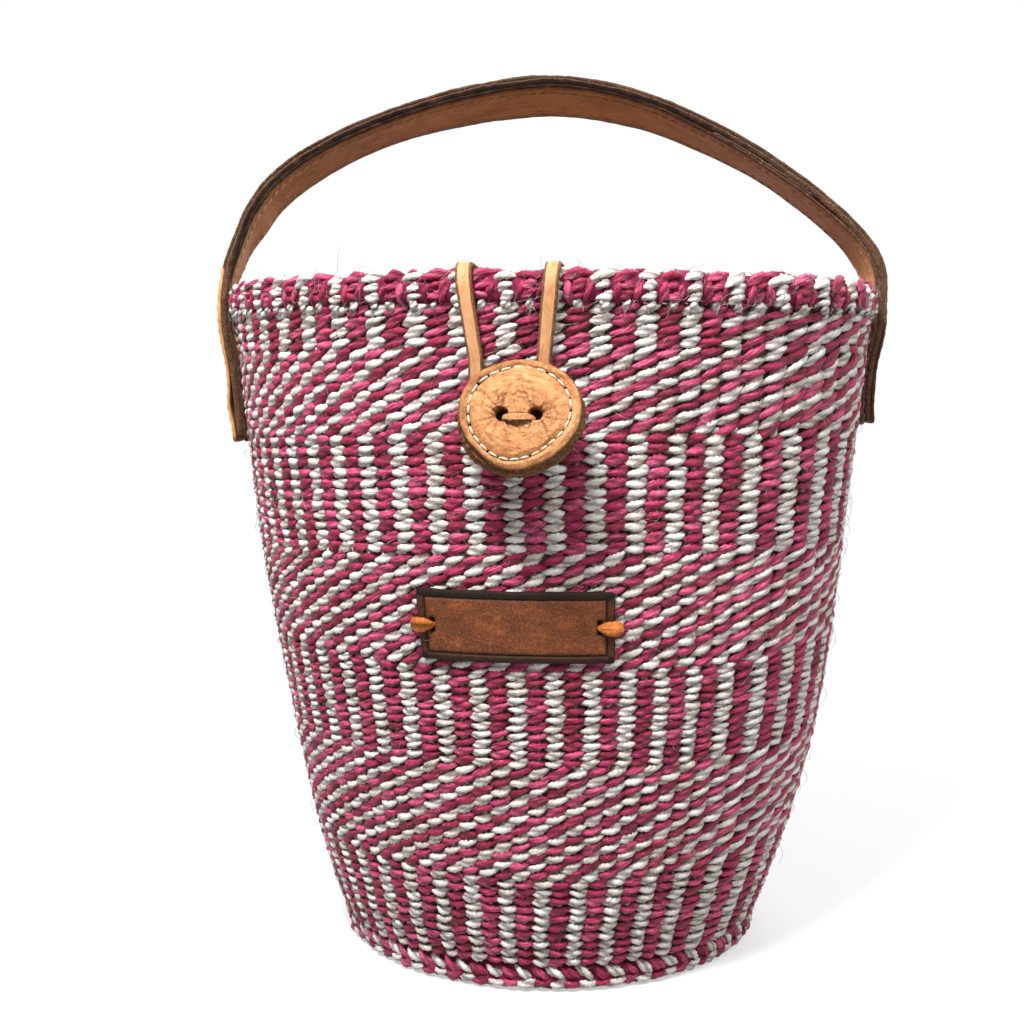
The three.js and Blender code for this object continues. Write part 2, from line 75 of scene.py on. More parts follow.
# %% [markdown]
# The wall is one formula: a cone that swells low down, as a soft full basket does, and sways a little to
# one side. Every strand of the weave is placed with it, so the weave fits the CAD solids.

# %% The wall's outline
basket_height = 240 * mm
foot_radius = 73.7 * mm
mouth_radius = 118 * mm
wall_belly = 10 * mm
belly_low_share = 0.67
mouth_offset = 0.4 * mm
wall_sway = 1.8 * mm
sway_top_share = 0.7
wall_thickness = 5.5 * mm
wall_bottom = 11 * mm
rim_height = 10.4 * mm
rim_width = 7.4 * mm
rim_radius = 114.6 * mm
rim_outer = rim_radius + rim_width / 2
fittings_turn = math.radians(-7.8)
rng = np.random.RandomState(20)


def wall_radius(z):
    up = np.clip(np.asarray(z, float) / basket_height, 0, 1)
    belly = wall_belly * np.sin(math.pi * up ** belly_low_share)
    return foot_radius + (mouth_radius - foot_radius) * up + belly


def wall_lean(z):
    up = np.asarray(z, float) / basket_height
    sway = wall_sway * np.sin(math.pi * np.clip(up / sway_top_share, 0, 1)) ** 2
    return mouth_offset * up ** 3 + sway


def at_turn(turn, radius, z):
    """Points at this turn and this far out from the wall's leaning axis."""
    return np.stack(np.broadcast_arrays(wall_lean(z) + radius * np.sin(turn), -radius * np.cos(turn), z), -1)


def wall_slope(z):
    step = 0.5 * mm
    return np.arctan((wall_radius(z + step) - wall_radius(z - step)) / (2 * step))


print("radius at the foot, middle and rim:", [round(float(wall_radius(z)), 4) for z in (0, 0.12, 0.24)])

# %% [markdown]
# The stage is a pale floor in a room that the camera sees as plain white. The floor keeps the shadow near
# the basket and turns white further out. Light comes from a soft lamp high in front and a little to the
# left, as from a window, from a weaker one on the right, and from one behind, which shows the back.

# %% Stage and light
def node_in(tree, kind, **values):
    made = tree.nodes.new(kind)
    for key, value in values.items():
        if key in made.inputs:
            made.inputs[key].default_value = value
        else:
            setattr(made, key, value)
    return made


def clear_selection():
    if bpy.context.object and bpy.context.object.mode != "OBJECT":
        bpy.ops.object.mode_set(mode="OBJECT")
    bpy.ops.object.select_all(action="DESELECT")


def seen_rays(tree, path):
    """1 for the rays that show the room itself: straight, reflected and through glass."""
    first, both = (node_in(tree, "ShaderNodeMath", operation="ADD") for _ in range(2))
    tree.links.new(path.outputs["Is Camera Ray"], first.inputs[0])
    tree.links.new(path.outputs["Is Glossy Ray"], first.inputs[1])
    tree.links.new(first.outputs[0], both.inputs[0])
    tree.links.new(path.outputs["Is Transmission Ray"], both.inputs[1])
    return both.outputs[0]


def shader_mix(tree, factor, first, second):
    mix = tree.nodes.new("ShaderNodeMixShader")
    for output, socket in zip((factor, first, second), mix.inputs):
        tree.links.new(output, socket)
    return mix.outputs[0]


white_from, white_to = 90 * mm, 340 * mm


def pale_floor():
    made = bpy.data.materials.new("pale_floor")
    made.use_nodes = True
    tree = made.node_tree
    tree.nodes.clear()
    path = tree.nodes.new("ShaderNodeLightPath")
    away = node_in(tree, "ShaderNodeVectorMath", operation="LENGTH")
    tree.links.new(tree.nodes.new("ShaderNodeTexCoord").outputs["Object"], away.inputs[0])
    whiter = tree.nodes.new("ShaderNodeMapRange")
    whiter.interpolation_type = "SMOOTHSTEP"
    for socket, value in zip(whiter.inputs[1:5], (white_from, white_to, 0.5, 1.0)):
        socket.default_value = value
    tree.links.new(away.outputs["Value"], whiter.inputs[0])
    share = node_in(tree, "ShaderNodeMath", operation="MULTIPLY")
    tree.links.new(seen_rays(tree, path), share.inputs[0])
    tree.links.new(whiter.outputs[0], share.inputs[1])
    plain = node_in(tree, "ShaderNodeBsdfDiffuse", Color=(0.86, 0.86, 0.85, 1))
    # what the floor throws back on the basket is kept low, as in the photograph
    dull = node_in(tree, "ShaderNodeBsdfDiffuse", Color=(0.40, 0.40, 0.40, 1))
    glow = node_in(tree, "ShaderNodeEmission", Color=(1, 1, 1, 1), Strength=1.0)
    ground = shader_mix(tree, path.outputs["Is Diffuse Ray"], plain.outputs[0], dull.outputs[0])
    seen = shader_mix(tree, share.outputs[0], ground, glow.outputs[0])
    tree.links.new(seen, tree.nodes.new("ShaderNodeOutputMaterial").inputs[0])
    return made


clear_selection()
bpy.ops.mesh.primitive_plane_add(size=12, location=(0, 0, -0.4 * mm))
floor = bpy.context.object
floor.name = "floor"
floor.data.materials.append(pale_floor())

world = bpy.data.worlds.new("room")
bpy.context.scene.world = world
world.use_nodes = True
world_tree = world.node_tree
world_tree.nodes.clear()
room_light = node_in(world_tree, "ShaderNodeBackground", Color=(0.95, 0.97, 1.0, 1), Strength=0.25)
room_seen = node_in(world_tree, "ShaderNodeBackground", Color=(1, 1, 1, 1), Strength=1.0)
room_path = world_tree.nodes.new("ShaderNodeLightPath")
room = shader_mix(world_tree, seen_rays(world_tree, room_path), room_light.outputs[0], room_seen.outputs[0])
world_tree.links.new(room, world_tree.nodes.new("ShaderNodeOutputWorld").inputs[0])


def lamp(name, place, target, size, power):
    data = bpy.data.lights.new(name, "AREA")
    data.size = size
    data.energy = power
    made = bpy.data.objects.new(name, data)
    made.location = place
    made.rotation_euler = (Vector(target) - Vector(place)).to_track_quat("-Z", "Y").to_euler()
    bpy.context.scene.collection.objects.link(made)
    return made


lamp("window", (-0.21, -0.48, 0.80), (0, 0, 0.23), 0.22, 12.8)
lamp("fill", (0.46, -0.48, 0.90), (0, 0, 0.23), 0.5, 6.4)
lamp("behind", (0.25, 0.95, 0.85), (0, 0, 0.12), 0.9, 11)
bpy.context.scene.view_settings.view_transform = "Standard"
print("stage and lamps set")

# %% [markdown]
# Some pieces are skins drawn through rings of points: straps, tubes and discs. One helper closes such a
# skin and lays a UV map along and round it, another sweeps a section along a path, and a third gives the
# random but smooth unevenness that hands and knives leave.

# %% Helpers for meshes
def new_piece(name, points, corners, starts, finish, uv=None, yarn=None):
    mesh = bpy.data.meshes.new(name)
    mesh.vertices.add(len(points))
    mesh.vertices.foreach_set("co", np.ascontiguousarray(points, np.float32).ravel())
    mesh.loops.add(len(corners))
    mesh.loops.foreach_set("vertex_index", np.ascontiguousarray(corners, np.int32))
    mesh.polygons.add(len(starts))
    mesh.polygons.foreach_set("loop_start", np.ascontiguousarray(starts, np.int32))
    if uv is not None:
        layer = mesh.uv_layers.new(name="strand")
        layer.data.foreach_set("uv", np.ascontiguousarray(uv, np.float32).ravel())
    if yarn is not None:
        colour = mesh.color_attributes.new(name="yarn", type="FLOAT_COLOR", domain="POINT")
        colour.data.foreach_set("color", np.ascontiguousarray(yarn, np.float32).ravel())
    mesh.update(calc_edges=True)
    mesh.polygons.foreach_set("use_smooth", np.full(len(starts), True))
    mesh.materials.append(finish)
    made = bpy.data.objects.new(name, mesh)
    bpy.context.scene.collection.objects.link(made)
    return made


def signed_volume(points, corners, starts):
    ends = np.append(starts[1:], len(corners))
    total = 0.0
    for size in np.unique(ends - starts):
        first = starts[(ends - starts) == size]
        a = points[corners[first]]
        for k in range(1, size - 1):
            b = points[corners[first + k]]
            c = points[corners[first + k + 1]]
            total += np.einsum("ij,ij->i", a, np.cross(b, c)).sum()
    return total / 6


def skin(rings, along=None, girth=None, closed=False):
    """A closed skin through S rings of P points: its ends are capped, or joined when closed."""
    count, around = rings.shape[:2]
    points = rings.reshape(-1, 3)
    rows = count if closed else count - 1
    along = np.arange(count + 1.0) if along is None else np.append(along, 2 * along[-1] - along[-2])
    girth = np.arange(around + 1.0) if girth is None else girth
    i, j = np.meshgrid(np.arange(rows), np.arange(around), indexing="ij")
    i, j = i.ravel(), j.ravel()
    nxt, turn = (i + 1) % count, (j + 1) % around
    corners = np.stack([i * around + j, i * around + turn, nxt * around + turn, nxt * around + j], 1).ravel()
    uv = np.stack([
        np.stack([along[i], girth[j]], 1), np.stack([along[i], girth[j + 1]], 1),
        np.stack([along[i + 1], girth[j + 1]], 1), np.stack([along[i + 1], girth[j]], 1),
    ], 1).reshape(-1, 2)
    starts = np.arange(len(i)) * 4
    if not closed:
        first = np.arange(around)[::-1]
        last = (count - 1) * around + np.arange(around)
        starts = np.concatenate([starts, [len(corners), len(corners) + around]])
        corners = np.concatenate([corners, first, last])
        uv = np.concatenate([
            uv, np.stack([np.full(around, along[0]), girth[first]], 1),
            np.stack([np.full(around, along[count - 1]), girth[:around]], 1),
        ])
    if signed_volume(points, corners, starts) < 0:
        ends = np.append(starts[1:], len(corners))
        order = np.concatenate([np.arange(e - 1, s - 1, -1) for s, e in zip(starts, ends)])
        corners, uv = corners[order], uv[order]
    return points, corners, starts, uv


def join_skins(parts):
    """Several (points, corners, starts, uv) in one."""
    points, corners, starts, uv = [], [], [], []
    shift = offset = 0
    for p, c, s, t in parts:
        points.append(p)
        corners.append(c + shift)
        starts.append(s + offset)
        uv.append(t)
        shift += len(p)
        offset += len(c)
    return np.concatenate(points), np.concatenate(corners), np.concatenate(starts), np.concatenate(uv)


def unit(vectors):
    return vectors / np.linalg.norm(vectors, axis=-1, keepdims=True)


def bearings(turn):
    """The outward and the sideways direction at each turn about the basket's axis. 0 is the front."""
    turn = np.asarray(turn, float)
    sine, cosine = np.sin(turn), np.cos(turn)
    return np.stack([sine, -cosine, 0 * turn], -1), np.stack([cosine, sine, 0 * turn], -1)


def lengths_along(path):
    return np.concatenate([[0], np.cumsum(np.linalg.norm(np.diff(path, axis=0), axis=1))])


def resampled(path, step):
    along = lengths_along(path)
    even = np.linspace(0, along[-1], max(3, int(round(along[-1] / step)) + 1))
    return np.stack([np.interp(even, along, path[:, k]) for k in range(path.shape[1])], 1)


def softened(path, rounds):
    """A path with its corners rounded off. Its ends stay."""
    for _ in range(rounds):
        path[1:-1] = (path[:-2] + 2 * path[1:-1] + path[2:]) / 4
    return path


def tube_rings(path, out, other, radius, sides):
    """Rings of points round a path. out and other are its two crosswise directions."""
    ring = np.arange(sides) * 2 * math.pi / sides
    spokes = np.cos(ring)[None, :, None] * out[:, None] + np.sin(ring)[None, :, None] * other[:, None]
    return path[:, None] + np.asarray(radius)[..., None] * spokes


def flat_section(wide, thick, across=5, corner=0.5):
    """Points round a flat strip's section, as (across, outward) pairs with rounded long edges."""
    bend = corner * thick
    broad = np.linspace(-wide / 2 + bend, wide / 2 - bend, across)
    edge = np.radians([50, 0, -50])
    right = np.stack([wide / 2 - bend + bend * np.cos(edge), thick / 2 * np.sin(edge)], 1)
    top = np.stack([broad, np.full(across, thick / 2)], 1)
    return np.concatenate([top, right, top[::-1] * (1, -1), right[::-1] * (-1, 1)])


def girth_of(section):
    closed = np.concatenate([section, section[:1]])
    return lengths_along(closed)


def sweep(path, outward, section):
    """A section carried along a path. The section is (P, 2) or, when it changes on the way, (S, P, 2)."""
    side = unit(np.cross(np.gradient(path, axis=0), outward))
    outward = unit(outward)
    section = np.broadcast_to(section, (len(path),) + section.shape[-2:])
    rings = path[:, None] + section[..., :1] * side[:, None] + section[..., 1:] * outward[:, None]
    return skin(rings, lengths_along(path) / mm, girth_of(section[0]) / mm)


def skin_piece(name, made, finish, yarn=None):
    points, corners, starts, uv = made
    return new_piece(name, points, corners, starts, finish, uv=uv, yarn=yarn)


def wear_and_shade_yarn(wear_and_shade):
    """The colour attribute of a leather's points, which says how worn each is and how much shade is painted
    on it.
    """
    wear_and_shade = np.ravel(wear_and_shade)
    return np.stack([wear_and_shade, 0 * wear_and_shade, 0 * wear_and_shade, 0 * wear_and_shade + 1], 1)


def smooth(value, low, high):
    share = np.clip((np.asarray(value, float) - low) / (high - low), 0, 1)
    return share * share * (3 - 2 * share)


def uneven(count, reach, size):
    """A smooth random line of count values that closes on itself and changes over about reach values."""
    knots = max(4, int(round(count / reach)))
    values = rng.normal(0, size, knots)
    at = np.linspace(0, knots, count, endpoint=False)
    low = np.floor(at).astype(int)
    part = at - low
    part = part * part * (3 - 2 * part)
    return values[low % knots] * (1 - part) + values[(low + 1) % knots] * part


def uneven_field(rows, columns, reach_rows, reach_columns, size):
    coarse = np.stack([uneven(columns, reach_columns, size) for _ in range(max(4, int(rows / reach_rows)))])
    at = np.linspace(0, len(coarse), rows, endpoint=False)
    low = np.floor(at).astype(int)
    part = at - low
    part = (part * part * (3 - 2 * part))[:, None]
    return coarse[low % len(coarse)] * (1 - part) + coarse[(low + 1) % len(coarse)] * part


# %% [markdown]
# One stitch of the weave is what shows of a two-ply strand where it crosses a warp: a grain, fat in the
# middle, thin where it dives under its neighbours, bowed outwards, and with the grooves of its two plies
# running slantwise across it. It is modelled from a cylinder, in three versions whose plies lie differently,
# with few faces, because the basket has thousands. A coarser one does for the inside of the wall.

# %% One stitch
grain_share = 0.35  # the grain itself turns by this share of its plies' twist


def model_stitch(sides, cuts, twist, groove, bow, starts_at=(0.0,), tip=0.2):
    clear_selection()
    bpy.ops.mesh.primitive_cylinder_add(vertices=sides, radius=0.5, depth=1, rotation=(0, math.pi / 2, 0))
    grain = bpy.context.object
    bpy.ops.object.transform_apply(location=True, rotation=True, scale=True)
    bpy.ops.object.mode_set(mode="EDIT")
    bpy.ops.mesh.select_all(action="DESELECT")
    shape = bmesh.from_edit_mesh(grain.data)
    for edge in shape.edges:
        ends = [v.co.x for v in edge.verts]
        edge.select_set(abs(ends[0] - ends[1]) > 0.9)
    bmesh.update_edit_mesh(grain.data)
    bpy.ops.mesh.subdivide(number_cuts=cuts)
    bpy.ops.object.mode_set(mode="OBJECT")
    plain = np.array([v.co[:] for v in grain.data.vertices])
    faces = [list(face.vertices) for face in grain.data.polygons]
    bpy.data.objects.remove(grain)
    corners = np.concatenate(faces)
    starts = np.concatenate([[0], np.cumsum([len(face) for face in faces])[:-1]])
    x = plain[:, 0]
    angle = np.arctan2(plain[:, 1], plain[:, 2])
    bowed = bow * (1 - (2 * x) ** 2)
    all_points, all_uv = [], []
    for start in starts_at:
        fat = tip + (1 - tip) * (1 - np.abs(2 * x) ** 2.3)
        lobe = 1 - groove * np.abs(np.sin(angle + twist * x + start)) ** 3
        swing = angle + grain_share * twist * x
        points = np.stack([x, 0.5 * fat * lobe * np.sin(swing) - bowed, 0.5 * fat * lobe * np.cos(swing)], 1)
        uv = []
        for face in faces:
            turns = (swing[face] + start) / (2 * math.pi)
            turns = turns - np.round(turns - turns[0])
            uv.append(np.stack([x[face] + 0.5, turns], 1))
        if signed_volume(points, corners, starts) < 0:
            raise SystemExit("the stitch is inside out")
        all_points.append(points)
        all_uv.append(np.concatenate(uv))
    return np.stack(all_points), corners, starts, np.stack(all_uv)


bow_out = 0.5
ply_twist = math.radians(300)
ply_starts = (0.0, 1.0, 2.1)
two_ply = model_stitch(8, 6, ply_twist, 0.5, bow_out, ply_starts)
plain_ply = model_stitch(6, 2, ply_twist, 0.16, bow_out, ply_starts)
thread_model = model_stitch(6, 2, 0.0, 0.0, 0.35, tip=0.55)
print("a stitch has", len(two_ply[2]), "faces, a coarse one", len(plain_ply[2]))

# %% [markdown]
# The stitch is copied to every place in a list. Each copy is turned, stretched and coloured on its own, and
# gets its own stretch of the fibre pattern, and the copies of one row or band are joined in one mesh.

# %% Copies of a small model
pattern_shifts = 40  # so many different stretches of the pattern


def copies(name, model, finish, places, axes, sizes, dye=0.0):
    """A small model copied to many places. The columns of axes are the directions of its X, Y and Z."""
    points, corners, starts, uv = model
    n = len(places)
    version = rng.randint(len(points), size=n)
    seed, tone = rng.rand(n), rng.rand(n)
    sized = points[version] * np.broadcast_to(sizes, (n, 3))[:, None]
    laid = np.einsum("nij,nvj->nvi", axes, sized) + np.asarray(places)[:, None]
    yarn = np.stack([np.broadcast_to(dye, n), tone, seed, np.ones(n)], 1)
    yarn = np.repeat(yarn[:, None], points.shape[1], 1)
    all_corners = corners[None] + (np.arange(n) * points.shape[1])[:, None]
    all_starts = starts[None] + (np.arange(n) * len(corners))[:, None]
    all_uv = uv[version] + np.floor(np.stack([seed, tone], 1) * pattern_shifts)[:, None]
    return new_piece(
        name, laid.reshape(-1, 3), all_corners.ravel(), all_starts.ravel(), finish,
        uv=all_uv.reshape(-1, 2), yarn=yarn.reshape(-1, 4),
    )


def round_the_axis(turn, radius, z, elevation, tilt):
    """Places and axes round the basket. Elevation turns the outward side up, and by 180 degrees inwards."""
    turn, radius, z, elevation, tilt = np.broadcast_arrays(turn, radius, z, elevation, tilt)
    level, rise = np.cos(elevation), np.sin(elevation)
    outward = np.stack([np.sin(turn) * level, -np.cos(turn) * level, rise], 1)
    _, along = bearings(turn)
    up = np.cross(along, -outward)
    run = np.cos(tilt)[:, None] * along + np.sin(tilt)[:, None] * up
    high = -np.sin(tilt)[:, None] * along + np.cos(tilt)[:, None] * up
    return at_turn(turn, radius, z), np.stack([run, -outward, high], 2)


# %% [markdown]
# Sisal is a stiff leaf fibre. A strand shows fine parallel streaks that follow its twist, grooves between its
# plies, a slight satin sheen, and colour that differs from strand to strand: the natural one from white to
# cream, the dyed one from deep to light magenta. The grooves are darkened in the colour as painted shade. The
# streaks come from noise drawn out along the strand's own UV map, and the dye and tone of each stitch from
# its attribute. One material serves every strand.

# %% Sisal
def shades(tree, colours, source):
    ramp = tree.nodes.new("ShaderNodeValToRGB")
    ramp.color_ramp.elements.remove(ramp.color_ramp.elements[0])
    ramp.color_ramp.elements[0].position = colours[0][0]
    ramp.color_ramp.elements[0].color = (*colours[0][1], 1)
    for position, colour in colours[1:]:
        ramp.color_ramp.elements.new(position).color = (*colour, 1)
    tree.links.new(source, ramp.inputs[0])
    return ramp.outputs[0]


def feed(tree, value, socket):
    """Links a socket to another node's output, or sets it to a value."""
    if isinstance(value, bpy.types.NodeSocket):
        tree.links.new(value, socket)
    else:
        socket.default_value = value


def sums(tree, operation, *values):
    node = node_in(tree, "ShaderNodeMath", operation=operation)
    for value, socket in zip(values, node.inputs):
        feed(tree, value, socket)
    return node.outputs[0]


def mixed(tree, kind, factor, a, b):
    node = node_in(tree, "ShaderNodeMix", data_type="RGBA", blend_type=kind)
    for value, socket in ((factor, node.inputs[0]), (a, node.inputs[6]), (b, node.inputs[7])):
        feed(tree, value, socket)
    return node.outputs[2]


def strand_source(tree):
    """The place on the piece's own UV map."""
    return node_in(tree, "ShaderNodeUVMap", uv_map="strand").outputs[0]


def yarn_source(tree):
    """The values painted on the points: dye, tone and seed, or on leather the wear."""
    parts = tree.nodes.new("ShaderNodeSeparateColor")
    painted = node_in(tree, "ShaderNodeAttribute", attribute_name="yarn")
    tree.links.new(painted.outputs["Color"], parts.inputs[0])
    return parts.outputs


def noise_on(tree, source, scale, detail=3.0, roughness=0.6, distortion=0.0):
    stretch = tree.nodes.new("ShaderNodeMapping")
    stretch.inputs["Scale"].default_value = scale
    tree.links.new(source, stretch.inputs[0])
    noise = node_in(
        tree, "ShaderNodeTexNoise", Scale=1.0, Detail=detail, Roughness=roughness, Distortion=distortion,
    )
    tree.links.new(stretch.outputs[0], noise.inputs["Vector"])
    return noise.outputs["Fac"]


def new_finish(name):
    made = bpy.data.materials.new(name)
    made.use_nodes = True
    made.node_tree.nodes.clear()
    return made, made.node_tree


def finished(made, tree, colour, roughness, height, bump_strength, bump_distance, sheen=0.0, specular=0.5):
    """The end of every finish: a bump from height, and one shader."""
    bump = node_in(tree, "ShaderNodeBump", Strength=bump_strength, Distance=bump_distance)
    tree.links.new(height, bump.inputs["Height"])
    shader = node_in(tree, "ShaderNodeBsdfPrincipled")
    shader.inputs["Specular IOR Level"].default_value = specular
    shader.inputs["Sheen Weight"].default_value = sheen
    shader.inputs["Sheen Roughness"].default_value = 0.5
    feed(tree, roughness, shader.inputs["Roughness"])
    tree.links.new(colour, shader.inputs["Base Color"])
    tree.links.new(bump.outputs[0], shader.inputs["Normal"])
    out = tree.nodes.new("ShaderNodeOutputMaterial")
    tree.links.new(shader.outputs[0], out.inputs[0])
    return made


def sisal_finish(name):
    made, tree = new_finish(name)
    painted = yarn_source(tree)
    dye, tone = painted[0], painted[1]
    strand = strand_source(tree)
    streaks = noise_on(tree, strand, (1.3, 17, 1), 4.0, 0.7, 0.3)
    patches = noise_on(tree, strand, (1.2, 3.5, 1), 2.0)
    spread = tree.nodes.new("ShaderNodeSeparateXYZ")
    tree.links.new(strand, spread.inputs[0])
    share = sums(tree, "SUBTRACT", sums(tree, "FRACT", spread.outputs[0]), 0.5)
    turned = sums(tree, "MULTIPLY", share, (1 - grain_share) * ply_twist)
    phase = sums(tree, "MULTIPLY_ADD", spread.outputs[1], 2 * math.pi, turned)
    groove = sums(tree, "POWER", sums(tree, "ABSOLUTE", sums(tree, "SINE", phase)), 5.0)
    contrast = sums(tree, "MULTIPLY_ADD", streaks, 1.6, -0.27)
    level = sums(tree, "SUBTRACT", sums(tree, "MULTIPLY_ADD", tone, 0.36, contrast), 0.18)
    natural = shades(tree, [
        (0.1, (0.40, 0.32, 0.24)), (0.34, (0.70, 0.63, 0.55)),
        (0.55, (0.85, 0.81, 0.76)), (0.85, (0.95, 0.93, 0.90)),
    ], level)
    magenta = shades(tree, [
        (0.1, (0.085, 0.002, 0.012)), (0.36, (0.25, 0.005, 0.040)),
        (0.56, (0.44, 0.016, 0.090)), (0.8, (0.77, 0.14, 0.28)),
    ], level)
    dyed = mixed(tree, "MIX", dye, natural, magenta)
    patchy = shades(tree, [(0.3, (0.76, 0.74, 0.74)), (0.62, (1, 1, 1))], patches)
    shaded = mixed(tree, "MULTIPLY", 0.6, dyed, patchy)
    # painted shade: the colour darkens in the grooves between the plies
    ply_groove_shade = shades(tree, [(0.0, (1, 1, 1)), (0.45, (0.84, 0.82, 0.81)), (1.0, (0.30, 0.26, 0.26))], groove)
    colour = mixed(tree, "MULTIPLY", 0.85, shaded, ply_groove_shade)
    height = sums(tree, "SUBTRACT", streaks, sums(tree, "MULTIPLY", groove, 0.7))
    return finished(made, tree, colour, 0.5, height, 1.0, 0.8 * mm, sheen=0.05, specular=0.3)


sisal = sisal_finish("sisal")

# %% [markdown]
# The pattern comes from a simple rule. Rows of stitches stand on warps, and as the wall widens more warps
# are added, so a stitch keeps about its length. In a band of columns each stitch repeats the colour of the
# one below it, so upright stripes grow. In a band of steps the colours change places at every row, and the
# tilted stitches link up into twisted ropes that climb to the right. Hands pull unevenly, so warps are
# wider apart on one side, and each stitch differs a little.

# %% Rows of the wall
bands = [
    # name, lowest and highest edge in mm, rows, warps, how unevenly they stand, turn of the first one in
    # degrees, whether the colours step, colour of the first warp, tilt
    ("foot_columns", 9.8, 43.5, 10, 84, 0.0, 0.4, False, 1, 9),
    ("low_steps", 43.5, 83.0, 12, 90, 0.0, -0.9, True, 0, 24),
    ("middle_columns", 83.0, 116.0, 11, 98, -0.05, -1.4, False, 0, 15),
    ("middle_steps", 116.0, 153.0, 11, 98, 0.0, -1.0, True, 1, 25),
    ("high_columns", 153.0, 192.0, 11, 100, 0.02, -0.8, False, 0, 15),
    ("high_steps", 192.0, 217.0, 8, 96, 0.05, -0.9, True, 1, 24),
    ("rim_columns", 217.0, 229.6, 4, 92, 0.0, -1.2, False, 0, 20),
]
droop = 7 * mm


def drooped(z, turn):
    """Rows near the rim hang lower at the basket's sides than at its front."""
    up = z / basket_height
    share = smooth(up, 0.45, 0.78) * (1 - smooth(up, 0.80, 0.95))
    return z - droop * share * np.sin(turn) ** 2


# on the basket's right side the warps stand wider apart
wider = 0.45
wider_from, wider_until = np.radians([22, 42]), np.radians([110, 150])
side_turn = np.linspace(-math.pi, math.pi, 721)
apart = 1 + wider * smooth(side_turn, *wider_from) * (1 - smooth(side_turn, *wider_until))
counted = np.cumsum(np.append(0, 2 / (apart[1:] + apart[:-1])))
counted = (counted - np.interp(0, side_turn, counted)) / counted[-1]
apart = apart * np.mean(1 / apart)


def warp_turn(index, warps, swing, first_turn):
    """Where each warp stands round the basket."""
    place = np.asarray(index, float) / warps
    even = np.interp(np.where(place > counted[-1], place - 1, place), counted, side_turn)
    return even + swing * (1 - np.cos(2 * even)) + math.radians(first_turn)


stitch_depth = 2.8 * mm
slanted_from = math.radians(24)  # under the rim the columns give way to steps here, towards the right


def weave_band(name, low, high, rows, warps, swing, first_turn, steps, first, lean, facing_in):
    level = (high - low) * mm / rows
    index = np.tile(np.arange(warps), rows)
    row = np.repeat(np.arange(rows), warps)
    columns = warp_turn(index, warps, swing, first_turn)
    n = len(index)
    middle = drooped(low * mm + (row + 0.5) * level, columns)
    pitch = drooped(low * mm + (row + 1) * level, columns) - drooped(low * mm + row * level, columns)
    drift = rng.normal(0, 0.25 * mm, rows)[row] + rng.normal(0, 0.16 * mm, n)
    turn = columns + drift / wall_radius(middle)
    wave = 0.28 * mm * np.sin(3 * columns + middle * 90) + 0.2 * mm * np.sin(7 * columns - middle * 160)
    z = middle + wave + rng.normal(0, 0.12 * mm, n)
    stepping = np.where((columns > slanted_from) & (name == "weave_rim_columns"), 1, steps)
    dye = (index + first + row * stepping) % 2
    width = 2 * math.pi * wall_radius(z) / warps * np.interp(columns, side_turn, apart)
    fat = np.where(dye == 1, 1.46, 1.34) + (0.14 if steps else 0)
    tall = 1.25 if steps else 1.18
    size = np.stack([fat * width, np.full(n, stitch_depth), tall * pitch], 1) * rng.normal(1, 0.06, (n, 3))
    tilt = rng.normal(math.radians(lean), math.radians(4.5), n)
    slope = wall_slope(z)
    if facing_in:
        radius = wall_radius(z) - wall_thickness + 0.86 * size[:, 1]
        place = round_the_axis(turn, radius, z, math.pi - slope, tilt)
        return copies(name, plain_ply, sisal, *place, size, 1 - dye)
    radius = wall_radius(z) - 0.84 * size[:, 1]
    return copies(name, two_ply, sisal, *round_the_axis(turn, radius, z, -slope, tilt), size, dye)


wall_pieces = []
for band in bands:
    wall_pieces.append(weave_band("weave_" + band[0], *band[1:], facing_in=False))
    wall_pieces.append(weave_band("lining_" + band[0], *band[1:], facing_in=True))
print("stitches in the wall:", 2 * sum(band[3] * band[4] for band in bands))

# %% [markdown]
# Between the stitches one sees the upright warps and the inside of the wall, which lies in shade. The warps
# are plain tubes of sisal in the middle of the wall. A thin shell behind them stands for the strands deep in
# the weave, so that no light comes through. Rings of the same kind fill the rim, the foot's braid and the
# base.
# The shell, the rings and the base's disc have dark copies of the sisal colours: painted shade.

# %% Warps and what lies deep in the weave
# dark copies of the sisal colours: painted shade for strands that lie deep in the weave
def shaded_deep_finish(name, low, high):
    made, tree = new_finish(name)
    place = tree.nodes.new("ShaderNodeTexCoord").outputs["Object"]
    grain = noise_on(tree, place, (900, 900, 300), 3.0)
    colour = shades(tree, [(0.3, low), (0.7, high)], grain)
    return finished(made, tree, colour, 0.9, grain, 0.6, 0.4 * mm, specular=0.2)


shaded_deep_sisal = shaded_deep_finish("shaded_deep_sisal", (0.09, 0.035, 0.03), (0.24, 0.15, 0.11))
shaded_deep_natural = shaded_deep_finish("shaded_deep_natural", (0.30, 0.24, 0.17), (0.52, 0.45, 0.35))
shaded_deep_magenta = shaded_deep_finish("shaded_deep_magenta", (0.07, 0.006, 0.02), (0.24, 0.014, 0.065))


def ring_rings(radius, z, steps=168):
    """Rings of points for a body of revolution with a closed outline: the outline stands at every step."""
    turn = np.arange(steps) * 2 * math.pi / steps
    return at_turn(turn[:, None], np.asarray(radius), np.asarray(z))


def round_section(radius, z, wide, tall, steps=14, squareness=3):
    angle = np.arange(steps) * 2 * math.pi / steps
    c, s = np.cos(angle), np.sin(angle)
    return (
        radius + wide / 2 * np.sign(c) * np.abs(c) ** (2 / squareness),
        z + tall / 2 * np.sign(s) * np.abs(s) ** (2 / squareness),
    )


rise = np.linspace(wall_bottom, basket_height - rim_height, 26)
shell_outside, shell_inside = 2.5 * mm, 3.3 * mm
shell = ring_rings(
    np.concatenate([wall_radius(rise) - shell_outside, wall_radius(rise[::-1]) - shell_inside]),
    np.concatenate([rise, rise[::-1]]), steps=112,
)
deep_shell = skin_piece("deep_shell", skin(shell, closed=True), shaded_deep_sisal)

